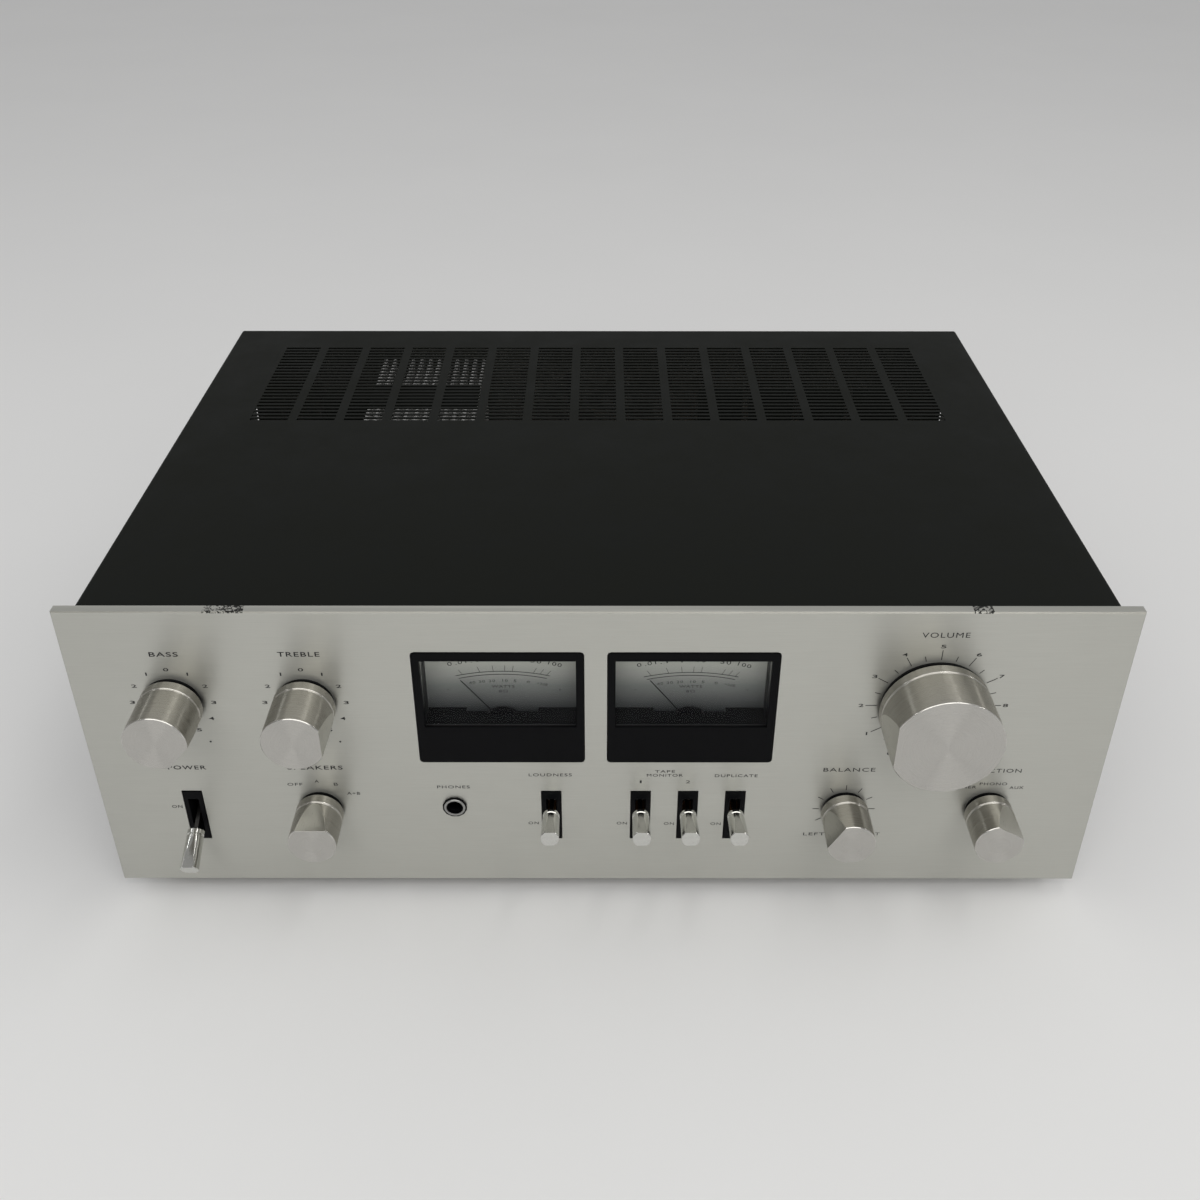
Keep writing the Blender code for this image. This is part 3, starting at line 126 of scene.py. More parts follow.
# Bonnet: the sheet is thinned from below round its slots
BONNET_SKIN = 0.0005
BONNET_BEND = 0.0018
BONNET_BEND_STEPS = 8
BONNET_SHEET = 0.0012
BONNET_FIELD_EDGE = 0.010
BONNET_THIN_EDGE = 0.002
VENT_COLUMNS = 15
VENT_ROWS = 24
VENT_LENGTH = 0.0188
VENT_WIDTH = 0.0020
VENT_COLUMN_PITCH = 0.02327
VENT_ROW_PITCH = 0.00393
VENT_SHIFT = -0.0006
VENT_FRONT_ROW = 0.0383

# Meter needles
NEEDLE_REST = math.radians(-38)
NEEDLE_LENGTH = 0.0268
NEEDLE_TAIL = 0.0040
NEEDLE_HUB_THICKNESS = 0.0011

# Rear fittings and the inside
JACK_PLATE = 0.0016
JACK_COLUMNS = 7
JACK_PITCH_X = 0.0170
JACK_PITCH_Z = 0.0160
TERMINAL_COUNT = 8
TERMINAL_RIB = 0.0018
TERMINAL_DEPTH = 0.0060
CAPACITOR_RADIUS = 0.0175
# A black sheet over the space between the heat sinks: painted shadow
SINK_SHADE_LAP = 0.0070
SINK_SHADE_REAR_LAP = 0.0042
SINK_SHADE_SHEET = 0.0008
SINK_SHADE_RIM = 0.0010
BOARD_TOP = 0.0208
BOARD_SCREW_INSET = 0.006
WIRE_END = 0.0215

# Print on the panel
INK_PROUD = 0.00004
INK_DEPTH = 0.00003
INK_LINE = 0.00032
LETTER_SPACING = 1.15
BOLD_CAP = 1.9
BOLD_WEIGHT = 0.011
NUMERAL_ONE = (0.6, 0.0)
NUMERAL_OTHER = (2.1, 0.010)
DOT_RADIUS = 0.00045

# Radii of the print round the knobs
TONE_NUMBERS = 0.0163
TONE_DOTS = 0.0234
VOLUME_TICK = 0.0226
VOLUME_LONG_END = 0.0272
VOLUME_SHORT_END = 0.0250
VOLUME_NUMBERS = 0.0290
BALANCE_TICK = 0.0105
BALANCE_TICK_END = 0.0132

# Dial print: half width and rise of both arcs and the places of the ticks, in millimetres
DIAL_ARCS = ((19.3, 2.35), (18.0, 2.15))
DIAL_TICKS = (-16.3, -9.2, -3.7, 0.9, 4.0, 12.5, 15.2, 17.9)
DIAL_TICK_LENGTH = 0.0029
DIAL_TICK_LINE = 0.00018

AXES = {joint["child"]: Vector(joint["pos_m"]) for joint in frame["joints"]}
PANEL_LOW, PANEL_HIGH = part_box("front_panel")
PANEL_FACE = PANEL_LOW.y
PANEL_TOP = PANEL_HIGH.z


def box_middle(name):
    """The middle of a node's box."""
    low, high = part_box(name)
    return (low + high) / 2


def add_object(name, data):
    """A new object in the scene."""
    thing = bpy.data.objects.new(name, data)
    bpy.context.scene.collection.objects.link(thing)
    return thing


class Nodes:
    """A node tree, with calls that add and link its nodes."""

    def __init__(self, tree):
        self.tree = tree

    def put(self, node, socket, value):
        """Sets a socket to a value, or links it to another node's output."""
        if isinstance(value, bpy.types.NodeSocket):
            self.tree.links.new(value, node.inputs[socket])
        else:
            node.inputs[socket].default_value = value

    def add(self, kind, inputs=None, **settings):
        node = self.tree.nodes.new("ShaderNode" + kind)
        for name, value in settings.items():
            setattr(node, name, value)
        for socket, value in (inputs or {}).items():
            self.put(node, socket, value)
        return node

    def spread(self, value, low, high, start=0.0, end=1.0):
        """A value between start and end, mapped to between low and high."""
        inputs = {"Value": value, "From Min": start, "From Max": end, "To Min": low, "To Max": high}
        return self.add("MapRange", inputs).outputs["Result"]

    def mix(self, factor, one, two, blend="MIX"):
        """A colour between two colours."""
        node = self.add("Mix", data_type="RGBA", blend_type=blend)
        for socket, value in (("Factor", factor), ("A", one), ("B", two)):
            found = [s for s in node.inputs if s.name == socket and s.enabled][0]
            if isinstance(value, bpy.types.NodeSocket):
                self.tree.links.new(value, found)
            elif socket == "Factor":
                found.default_value = value
            else:
                found.default_value = (*value, 1.0)
        return [s for s in node.outputs if s.enabled][0]

    def sums(self, operation, one, two=0.0):
        return self.add("Math", {0: one, 1: two}, operation=operation).outputs[0]


class Surface(Nodes):
    """One Principled material; socket names are written with underscores."""

    def __init__(self, name, colour, metallic, roughness, **fixed):
        self.material = bpy.data.materials.new(name)
        self.material.use_nodes = True
        super().__init__(self.material.node_tree)
        self.shader = self.tree.nodes["Principled BSDF"]
        self.put(self.shader, "Base Color", (*colour, 1.0))
        self.put(self.shader, "Metallic", metallic)
        self.put(self.shader, "Roughness", roughness)
        for socket, value in fixed.items():
            self.put(self.shader, socket.replace("_", " "), value)

    def place(self, scale=(1, 1, 1)):
        """The object's own coordinates, in millimetres, stretched by scale."""
        where = self.add("TexCoord").outputs["Object"]
        scale = tuple(1000 * s for s in scale)
        return self.add("Mapping", {"Vector": where, "Scale": scale}).outputs["Vector"]

    def noise(self, scale, stretch=(1, 1, 1), detail=3.0, roughness=0.6):
        """Noise with features of about 1/scale millimetres."""
        inputs = {"Vector": self.place(stretch), "Scale": scale, "Detail": detail, "Roughness": roughness}
        return self.add("TexNoise", inputs).outputs["Fac"]

    def paint(self, colour):
        self.put(self.shader, "Base Color", colour)

    def gloss(self, value, low, high, start=0.3, end=0.7):
        """Roughness between low and high, as the value goes from start to end."""
        self.put(self.shader, "Roughness", self.spread(value, low, high, start, end))

    def bump(self, height, distance, strength):
        inputs = {"Height": height, "Distance": distance, "Strength": strength}
        self.put(self.shader, "Normal", self.add("Bump", inputs).outputs["Normal"])

    def tangent(self, axis):
        node = self.add("Tangent", direction_type="RADIAL", axis=axis)
        self.put(self.shader, "Tangent", node.outputs["Tangent"])

    def vary(self, noise, colour, amount, roughness, spread):
        """Colour and roughness that drift a little with a noise."""
        dark = tuple(c * (1 - amount) for c in colour)
        light = tuple(min(1.0, c * (1 + amount)) for c in colour)
        self.paint(self.mix(noise, dark, light))
        self.gloss(noise, roughness - spread, roughness + spread, 0.25, 0.75)


def brushed_panel():
    """Satin aluminium, brushed along X, with a few dark nicks on the top edge and painted shade on the top
    chamfer.
    """
    colour = (0.58, 0.58, 0.53)
    surface = Surface("brushed_panel", colour, 1.0, 0.40, Anisotropic=0.80, Anisotropic_Rotation=0.25)
    surface.tangent("Z")
    lines = surface.noise(1.0, (0.05, 6.0, 6.0), 4.0, 0.7)
    drift = surface.noise(0.03, detail=2.0)
    tone = surface.mix(drift, (0.485, 0.485, 0.45), (0.515, 0.515, 0.475))
    tone = surface.mix(surface.spread(lines, 0.0, 1.0, 0.3, 0.7), tone, (0.555, 0.555, 0.515))
    parts = surface.add("SeparateXYZ", {"Vector": surface.place()}).outputs
    chips = surface.noise(0.9, detail=2.0)
    nicks = 0.0
    for left, right in NICKS:
        inside = surface.sums("GREATER_THAN", parts[0], left)
        inside = surface.sums("MULTIPLY", inside, surface.sums("LESS_THAN", parts[0], right))
        nicks = surface.sums("ADD", inside, nicks)
    nicks = surface.sums("MULTIPLY", nicks, surface.sums("GREATER_THAN", parts[2], NICK_FOOT))
    nicks = surface.sums("MULTIPLY", nicks, surface.spread(chips, 0.0, 1.0, 0.47, 0.53))
    # Painted shade: the chamfer that faces up is coloured darker than the rest of the panel.
    normal = surface.add("NewGeometry").outputs["Normal"]
    upward = surface.add("SeparateXYZ", {"Vector": normal}).outputs[2]
    top_chamfer_shade = surface.spread(upward, 0.0, 1.0, 0.3, 0.5)
    top_chamfer_shade = surface.sums("MULTIPLY", top_chamfer_shade, surface.spread(upward, 1.0, 0.0, 0.80, 0.95))
    tone = surface.mix(top_chamfer_shade, tone, (0.36, 0.355, 0.32))
    surface.paint(surface.mix(nicks, tone, (0.03, 0.03, 0.028)))
    surface.gloss(lines, 0.37, 0.46)
    surface.bump(lines, 0.00001, 0.25)
    return surface.material


def spun_knob():
    """Aluminium turned in fine rings."""
    colour = (0.62, 0.60, 0.56)
    surface = Surface("spun_knob", colour, 1.0, 0.34, Anisotropic=1.0, Anisotropic_Rotation=0.25)
    surface.tangent("Y")
    parts = surface.add("SeparateXYZ", {"Vector": surface.place()}).outputs
    squares = [surface.sums("POWER", part, 2.0) for part in (parts[0], parts[2])]
    radius = surface.sums("SQRT", surface.sums("ADD", *squares))
    along = surface.sums("MULTIPLY", surface.sums("ADD", radius, parts[1]), 9.0)
    ring_noise = surface.add("TexNoise", {"W": along, "Scale": 1.0, "Detail": 3.0}, noise_dimensions="1D")
    rings = ring_noise.outputs["Fac"]
    # Painted shade: the barrel, which faces sideways, is coloured darker than the face of the same aluminium.
    face = surface.mix(rings, (0.48, 0.465, 0.44), (0.55, 0.54, 0.51))
    barrel = surface.mix(rings, (0.35, 0.335, 0.30), (0.43, 0.415, 0.37))
    normal = surface.add("NewGeometry").outputs["Normal"]
    depth = surface.add("SeparateXYZ", {"Vector": normal}).outputs[1]
    on_face = surface.spread(depth, 1.0, 0.0, -0.95, -0.80)
    surface.paint(surface.mix(on_face, barrel, face))
    surface.gloss(rings, 0.25, 0.32)
    surface.bump(rings, 0.000004, 0.2)
    return surface.material


def cut_edge():
    """The bright diamond-cut rings and edges of the knobs."""
    surface = Surface("cut_edge", (0.56, 0.55, 0.52), 1.0, 0.16)
    surface.vary(surface.noise(0.35), (0.54, 0.53, 0.50), 0.40, 0.16, 0.05)
    return surface.material


def milled_flat():
    """The satin flat that points."""
    surface = Surface("milled_flat", (0.75, 0.74, 0.70), 1.0, 0.30)
    lines = surface.noise(1.0, (8.0, 0.2, 0.2), 3.0)
    surface.gloss(lines, 0.26, 0.34, 0.25, 0.75)
    surface.paint(surface.mix(lines, (0.50, 0.49, 0.45), (0.62, 0.61, 0.57)))
    surface.bump(lines, 0.000008, 0.25)
    return surface.material


def lever_chrome():
    """Polished plating with a faint haze of handling."""
    surface = Surface("lever_chrome", (0.60, 0.60, 0.57), 1.0, 0.14)
    haze = surface.noise(1.1, detail=4.0)
    surface.vary(haze, (0.60, 0.60, 0.57), 0.16, 0.15, 0.06)
    surface.bump(surface.noise(1.6, (1, 3, 1), 2.0), 0.00003, 0.35)
    return surface.material


def lever_flat():
    """The flats of the tips, plated like the rest and coloured darker as a painted reflection of the dark room."""
    surface = Surface("lever_flat", (0.38, 0.38, 0.36), 1.0, 0.16)
    # Painted reflection: a darker colour than the rest of the plating.
    surface.paint(surface.mix(surface.noise(0.5), (0.34, 0.34, 0.32), (0.44, 0.44, 0.42)))
    surface.gloss(surface.noise(1.1), 0.14, 0.20)
    return surface.material


def black_plastic():
    """Moulded satin plastic with a fine grain."""
    colour = (0.0035, 0.0036, 0.0042)
    surface = Surface("black_plastic", colour, 0.0, 0.36, Specular_IOR_Level=0.06)
    surface.vary(surface.noise(0.2), colour, 0.18, 0.36, 0.04)
    surface.bump(surface.noise(9.0, detail=2.0), 0.000012, 0.35)
    return surface.material


def bonnet_paint():
    """Matte black paint with a fine texture and a little dust."""
    surface = Surface("bonnet_paint", (0.006, 0.007, 0.0055), 0.0, 0.50, Specular_IOR_Level=0.065)
    dust = surface.noise(0.035, detail=5.0, roughness=0.65)
    amount = surface.spread(dust, 0.0, 1.0, 0.35, 0.75)
    surface.paint(surface.mix(amount, (0.0042, 0.0052, 0.0040), (0.0070, 0.0078, 0.0060)))
    surface.gloss(dust, 0.46, 0.58)
    surface.bump(surface.noise(5.0), 0.00004, 0.30)
    return surface.material


def zinc_steel():
    """Zinc plated sheet with a soft spangle."""
    surface = Surface("zinc_steel", (0.48, 0.47, 0.43), 1.0, 0.40)
    cells = surface.add("TexVoronoi", {"Vector": surface.place(), "Scale": 0.16}).outputs["Color"]
    spangle = surface.add("SeparateColor", {"Color": cells}).outputs[0]
    surface.vary(spangle, (0.47, 0.46, 0.42), 0.07, 0.40, 0.06)
    surface.bump(surface.noise(1.2), 0.00002, 0.2)
    return surface.material


def steel_shaft(name="turned_steel", colour=(0.50, 0.49, 0.46)):
    """Turned steel with fine lines across its length."""
    surface = Surface(name, colour, 1.0, 0.30)
    surface.vary(surface.noise(1.0, (0.4, 6.0, 0.4)), colour, 0.08, 0.30, 0.05)
    return surface.material


def clear_window():
    """Clear acrylic, a little worn."""
    surface = Surface("clear_window", (0.96, 0.97, 0.97), 0.0, 0.0, Transmission_Weight=1.0, IOR=1.12)
    surface.paint(surface.mix(surface.noise(0.05), (0.93, 0.94, 0.94), (0.98, 0.99, 0.99)))
    return surface.material


def dial_card():
    """Card, pale at the top and darker towards the bottom, black under the scale, with a weak painted glow."""
    surface = Surface("dial_card", (0.5, 0.5, 0.46), 0.0, 0.55)
    where = surface.add("TexCoord").outputs["Object"]
    height = surface.add("SeparateXYZ", {"Vector": where}).outputs[2]
    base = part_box("left_meter_dial")[0].z + DIAL_FADE_FOOT
    fade = surface.add("ValToRGB", {"Fac": surface.spread(height, 0.0, 1.0, base, base + DIAL_FADE_HEIGHT)})
    stops = fade.color_ramp.elements
    stops[0].color = DIAL_FADE[0][1]
    stops[1].color = DIAL_FADE[-1][1]
    for position, colour in DIAL_FADE[1:-1]:
        stops.new(position).color = colour
    grain = surface.mix(surface.noise(1.5), (0.35, 0.35, 0.32), (1, 1, 1))
    tone = surface.mix(0.10, fade.outputs["Color"], grain, "MULTIPLY")
    surface.paint(tone)
    # Painted glow: the dial gives off light in its own colour, though there is no lamp in the meter.
    surface.put(surface.shader, "Emission Color", tone)
    surface.put(surface.shader, "Emission Strength", DIAL_PAINTED_GLOW)
    return surface.material


def bare_aluminium():
    """Extruded aluminium with die lines."""
    surface = Surface("bare_aluminium", (0.90, 0.90, 0.89), 0.3, 0.42)
    lines = surface.noise(1.0, (4.0, 4.0, 0.05), 3.0)
    surface.vary(lines, (0.92, 0.92, 0.91), 0.05, 0.42, 0.06)
    surface.bump(lines, 0.00001, 0.3)
    return surface.material


def board_laminate():
    """Paper laminate, brown and slightly mottled."""
    surface = Surface("board_laminate", (0.22, 0.12, 0.05), 0.0, 0.42)
    surface.vary(surface.noise(0.5, detail=4.0), (0.23, 0.125, 0.052), 0.22, 0.42, 0.06)
    surface.bump(surface.noise(4.0), 0.00001, 0.25)
    return surface.material


def core_iron():
    """Varnished laminations, stacked along Y."""
    surface = Surface("core_iron", (0.08, 0.07, 0.06), 0.6, 0.45)
    where = surface.add("TexCoord").outputs["Object"]
    along = surface.sums("MULTIPLY", surface.add("SeparateXYZ", {"Vector": where}).outputs[1], 2200.0)
    stack = surface.add("TexNoise", {"W": along, "Scale": 1.0}, noise_dimensions="1D")
    surface.vary(stack.outputs["Fac"], (0.085, 0.072, 0.060), 0.35, 0.45, 0.10)
    surface.bump(stack.outputs["Fac"], 0.00008, 0.5)
    return surface.material


def capacitor_sleeve():
    """Shrunk plastic sleeve."""
    surface = Surface("capacitor_sleeve", (0.02, 0.03, 0.09), 0.0, 0.28)
    surface.vary(surface.noise(0.3), (0.02, 0.03, 0.09), 0.15, 0.28, 0.05)
    surface.bump(surface.noise(0.4, (1, 1, 3)), 0.00008, 0.2)
    return surface.material


def foot_rubber():
    surface = Surface("foot_rubber", (0.015, 0.015, 0.015), 0.0, 0.75)
    surface.vary(surface.noise(0.6), (0.016, 0.016, 0.016), 0.25, 0.75, 0.06)
    surface.bump(surface.noise(7.0), 0.00003, 0.4)
    return surface.material


def plain(name, colour, metallic=0.0, roughness=0.42):
    """A simple surface, a little uneven in colour and gloss."""
    surface = Surface(name, colour, metallic, roughness)
    surface.vary(surface.noise(0.8), colour, 0.10, roughness, 0.05)
    surface.bump(surface.noise(3.0), 0.00001, 0.2)
    return surface.material


def ink(name, colour):
    """Screen print, slightly uneven in coverage."""
    surface = Surface(name, colour, 0.0, 0.55)
    surface.vary(surface.noise(6.0), colour, 0.20, 0.55, 0.05)
    return surface.material


SLOT_MAKERS = (brushed_panel, spun_knob, lever_chrome, bonnet_paint, zinc_steel, black_plastic, clear_window)
SLOT_MAKERS += (dial_card, bare_aluminium, board_laminate, core_iron, capacitor_sleeve, foot_rubber)
MATERIALS = {maker.__name__: maker() for maker in SLOT_MAKERS}
BLACK_PLASTIC = MATERIALS["black_plastic"]
CUT_EDGE = cut_edge()
MILLED_FLAT = milled_flat()
STEEL_SHAFT = steel_shaft()
LEVER_FLAT = lever_flat()
# The lever arms are coloured nearly black: dark steel, with painted shade of their slots.
ARM_STEEL = steel_shaft("arm_steel", (0.07, 0.068, 0.065))
RING_STEEL = steel_shaft("ring_steel", (0.36, 0.36, 0.35))
# Painted shade: the black of the screws' cross recesses
RECESS_SHADE = plain("recess_painted_shade", (0.008, 0.008, 0.008), 0.0, 0.6)
NICKEL = plain("nickel_plate", (0.62, 0.60, 0.56), 1.0, 0.24)
BRASS = plain("brass", (0.60, 0.44, 0.18), 1.0, 0.30)
SOCKET_WHITE = plain("socket_white", (0.70, 0.69, 0.65))
SOCKET_RED = plain("socket_red", (0.42, 0.020, 0.016))
CAP_TOP = plain("capacitor_top", (0.05, 0.035, 0.025), 0.0, 0.5)
RESISTOR_BODY = plain("resistor_body", (0.42, 0.30, 0.18))
WIRE_COLOURS = [
    plain("wire_red", (0.35, 0.02, 0.02)),
    plain("wire_black", (0.012, 0.012, 0.012)),
    plain("wire_white", (0.60, 0.60, 0.56)),
    plain("wire_yellow", (0.60, 0.42, 0.05)),
]
PANEL_INK = ink("panel_ink", (0.009, 0.009, 0.010))
DIAL_INK = ink("dial_ink", (0.006, 0.006, 0.006))


def dress_nodes():
    """Every CAD node gets the material of its slot."""
    for part in frame["record"]["subparts"]:
        node = frame["nodes"][part["node"]]
        material = MATERIALS[part["material_slot"]]
        if part["node"].endswith("_shaft"):
            material = STEEL_SHAFT
        for material_slot in node.material_slots:
            material_slot.material = material
    for side in ("left", "right"):
        frame["nodes"][f"{side}_meter_window"].visible_shadow = False
    panel = frame["nodes"]["front_panel"]
    panel.modifiers.new("closed_seams", "WELD").merge_threshold = 0.00001
    soften(panel, PANEL_SOFTNESS)


def run(material, *points):
    """Points of a lathe's profile that are all of one material."""
    return [(radius, along, material) for radius, along in points]


def lathe(profile, sides):
    """A closed profile of (radius, along, material) points spun about Y; radius 0 lies on the axis."""
    shape = bmesh.new()
    rings = []
    for radius, along, _ in profile:
        if radius == 0:
            rings.append([shape.verts.new((0, along, 0))])
            continue
        angles = [2 * math.pi * (k + 0.5) / sides for k in range(sides)]
        rings.append([shape.verts.new((radius * math.sin(a), along, radius * math.cos(a))) for a in angles])
    for k, (one, two) in enumerate(zip(rings, rings[1:] + rings[:1])):
        if len(one) == 1 and len(two) == 1:
            continue
        for s in range(sides):
            corners = [one[s % len(one)], one[(s + 1) % len(one)], two[(s + 1) % len(two)], two[s % len(two)]]
            face = shape.faces.new(list(dict.fromkeys(corners)))
            face.material_index = profile[k][2]
    bmesh.ops.recalc_face_normals(shape, faces=shape.faces)
    return shape


def block(low, high, material=0):
    """A box between two corners."""
    shape = bmesh.new()
    bmesh.ops.create_cube(shape, size=1)
    for vertex in shape.verts:
        vertex.co = [low[i] if vertex.co[i] < 0 else high[i] for i in range(3)]
    for face in shape.faces:
        face.material_index = material
    return shape


def moved(shape, matrix):
    bmesh.ops.transform(shape, matrix=matrix, verts=shape.verts)
    return shape


def joined(shapes):
    """The given shapes side by side in one."""
    whole = bmesh.new()
    mesh = bpy.data.meshes.new("joined")
    for shape in shapes:
        shape.to_mesh(mesh)
        whole.from_mesh(mesh)
        shape.free()
    bpy.data.meshes.remove(mesh)
    return whole


def trim(shape, point, normal, material):
    """Cuts away what lies beyond a plane and closes the cut with one flat face."""
    geometry = shape.verts[:] + shape.edges[:] + shape.faces[:]
    cut = bmesh.ops.bisect_plane(shape, geom=geometry, plane_co=point, plane_no=normal, clear_outer=True)
    edges = [g for g in cut["geom_cut"] if isinstance(g, bmesh.types.BMEdge) and g.is_boundary]
    for face in bmesh.ops.contextual_create(shape, geom=edges)["faces"]:
        face.material_index = material
    bmesh.ops.recalc_face_normals(shape, faces=shape.faces)


def make(name, shape, materials, body, at=(0, 0, 0), turn=(0, 0, 0), bevel=0.0, replaces=(), edge=-1):
    """A piece that rides on a body; edge is the material of its bevels, or -1 for the faces' own."""
    mesh = bpy.data.meshes.new(name)
    shape.to_mesh(mesh)
    shape.free()
    for material in materials:
        mesh.materials.append(material)
    mesh.shade_smooth()
    mesh.set_sharp_from_angle(angle=SHARP_ANGLE)
    piece = add_object(name, mesh)
    piece.location = at
    piece.rotation_euler = turn
    if bevel:
        soften(piece, bevel).material = edge
    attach(piece, body)
    if replaces:
        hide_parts(*replaces)
    return piece


def soften(piece, width):
    """Rounds the sharp edges a little, so that they catch the light."""
    modifier = piece.modifiers.new("soft_edges", "BEVEL")
    modifier.width = width
    modifier.segments = 2
    modifier.limit_method = "ANGLE"
    modifier.angle_limit = SOFT_ANGLE
    modifier.harden_normals = True
    return modifier


def make_knob(name):
    """A turned knob with a groove, a bright chamfer and a milled pointer flat."""
    radius, gap, reach, flat, pointer, sides = KNOB_SIZES[name]
    groove = -(gap + KNOB_GROOVE_AT)
    barrel = groove - KNOB_GROOVE_WIDTH
    bore_end = -(reach - KNOB_WALL)
    floor = radius - KNOB_GROOVE_DEPTH
    inner = radius - KNOB_LIP
    profile = run(0, (KNOB_BORE, -gap), (radius - KNOB_BACK, -gap), (radius, -gap - KNOB_BACK))
    profile += run(1, (radius, groove + KNOB_LIP))
    profile += run(0, (inner, groove), (floor, groove - KNOB_GROOVE_WIDTH * 0.35))
    profile += run(0, (floor, groove - KNOB_GROOVE_WIDTH * 0.65))
    profile += run(1, (inner, barrel))
    profile += run(0, (radius, barrel - KNOB_LIP))
    profile += run(1, (radius, -reach + KNOB_CHAMFER))
    profile += run(0, (radius - KNOB_CHAMFER, -reach), (radius * 0.5, -reach), (0, -reach))
    profile += run(0, (0, bore_end), (KNOB_BORE, bore_end))
    shape = lathe(profile, sides)
    slope = flat / (reach + barrel)
    trim(shape, (0, barrel, radius), (0, -slope, 1), 2)
    axis = AXES[name]
    materials = [MATERIALS["spun_knob"], CUT_EDGE, MILLED_FLAT]
    at = (axis.x, PANEL_FACE, axis.z)
    turn = (0, math.radians(pointer), 0)
    nodes = [f"{name}_knob"]
    return make(f"{name}_knob_turned", shape, materials, name, at, turn, KNOB_SOFTNESS, nodes, 1)


def make_knob_washer(name):
    """A black disc in the gap behind a knob, standing in for the shadow there: painted shadow."""
    radius, gap = KNOB_SIZES[name][:2]
    outer = radius - GAP_SHADE_INSET
    front = -(gap - GAP_SHADE_SPACE)
    profile = run(0, (GAP_SHADE_BORE, 0), (GAP_SHADE_BORE, front), (outer, front), (outer, 0), (GAP_SHADE_BORE, 0))
    axis = AXES[name]
    at = (axis.x, PANEL_FACE, axis.z)
    return make(f"{name}_knob_washer", lathe(profile, 64), [BLACK_PLASTIC], "case", at)


def make_lever(name):
    """A plated tip with a collar, a groove and two flats, on a slim arm with its barrel and trunnions."""
    groove = TIP_START + TIP_COLLAR
    low = TIP_RADIUS - TIP_GROOVE_DEPTH
    profile = [
        (0, -TIP_START),
        (TIP_RADIUS - TIP_COLLAR_CHAMFER, -TIP_START),
        (TIP_RADIUS, -TIP_START - TIP_COLLAR_CHAMFER),
        (TIP_RADIUS, -groove),
        (low, -groove - TIP_GROOVE_WIDTH * 0.35),
        (low, -groove - TIP_GROOVE_WIDTH * 0.65),
        (TIP_RADIUS, -groove - TIP_GROOVE_WIDTH),
        (TIP_END_RADIUS, -TIP_END + TIP_CHAMFER),
        (TIP_END_RADIUS - TIP_CHAMFER, -TIP_END),
        (0, -TIP_END),
    ]
    tip = lathe(run(0, *profile), TIP_SIDES)
    start = -(TIP_START + TIP_FLAT_START)
    slope = TIP_FLAT_DEPTH / (start + TIP_END)
    for side in (1, -1):
        trim(tip, (0, start, side * TIP_RADIUS), (0, -slope, side), 2)
    arm_end = -(TIP_START + TIP_COLLAR / 2)
    arm = block((-ARM_WIDTH / 2, arm_end, -ARM_HEIGHT / 2), (ARM_WIDTH / 2, 0, ARM_HEIGHT / 2), 1)
    out = BARREL_HALF + TRUNNION_LENGTH
    half = [(0, -out), (TRUNNION_RADIUS, -out), (TRUNNION_RADIUS, -BARREL_HALF)]
    half.append((BARREL_RADIUS, -BARREL_HALF))
    other = [(radius, -along) for radius, along in half[::-1]]
    barrel = lathe(run(1, *half, *other), 24)
    moved(barrel, Matrix.Rotation(math.pi / 2, 4, "Z"))
    turn = (LEVER_DOWN if name == "power" else LEVER_UP, 0, 0)
    shape = joined([tip, arm, barrel])
    body = f"{name}_arm"
    materials = [MATERIALS["lever_chrome"], ARM_STEEL, LEVER_FLAT]
    at = tuple(AXES[body])
    piece, nodes = f"{name}_lever_plated", [f"{name}_lever"]
    return make(piece, shape, materials, body, at, turn, TIP_SOFTNESS, nodes)


def bonnet_side(side, half, top, bottom):
    """Half of the bent sheet's section, from the slot field out and down to the bottom edge."""

    def bend(edge, radius, upper):
        steps = [math.pi / 2 * k / BONNET_BEND_STEPS for k in range(BONNET_BEND_STEPS + 1)]
        middle = (edge - radius, upper - radius)
        return [(middle[0] + radius * math.sin(a), middle[1] + radius * math.cos(a)) for a in steps]

    sheet = BONNET_SHEET
    outside = [(half - BONNET_FIELD_EDGE, top)] + bend(half, BONNET_BEND, top) + [(half, bottom)]
    inside = bend(half - sheet, BONNET_BEND - sheet, top - sheet)
    inside = [(half - BONNET_FIELD_EDGE, top - sheet)] + inside + [(half - sheet, bottom)]
    return [(side * x, z) for x, z in outside + inside[::-1]]


def prism(outline, start, end):
    """A closed outline of (x, z) points drawn out along Y."""
    shape = bmesh.new()
    front = [shape.verts.new((x, start, z)) for x, z in outline]
    back = [shape.verts.new((x, end, z)) for x, z in outline]
    shape.faces.new(front)
    shape.faces.new(back[::-1])
    for k in range(len(outline)):
        shape.faces.new([front[k], front[k - 1], back[k - 1], back[k]])
    bmesh.ops.recalc_face_normals(shape, faces=shape.faces)
    return shape


def slotted_sheet(xs, ys, top, skin):
    """A sheet on a grid of lines, open at every cell whose column and row are both odd."""
    shape = bmesh.new()
    grids = [[[shape.verts.new((x, y, z)) for y in ys] for x in xs] for z in (top, top - skin)]

    def whole(column, row):
        within = 0 <= column < len(xs) - 1 and 0 <= row < len(ys) - 1
        return within and not (column % 2 and row % 2)

    for column in range(len(xs) - 1):
        for row in range(len(ys) - 1):
            if not whole(column, row):
                continue
            rounds = []
            for grid in grids:
                pairs = ((column, row), (column + 1, row), (column + 1, row + 1), (column, row + 1))
                rounds.append([grid[c][r] for c, r in pairs])
            shape.faces.new(rounds[0])
            shape.faces.new(rounds[1][::-1])
            neighbours = ((column, row - 1), (column + 1, row), (column, row + 1), (column - 1, row))
            for k, neighbour in enumerate(neighbours):
                if not whole(*neighbour):
                    n = (k + 1) % 4
                    shape.faces.new([rounds[0][n], rounds[0][k], rounds[1][k], rounds[1][n]])
    bmesh.ops.recalc_face_normals(shape, faces=shape.faces)
    return shape


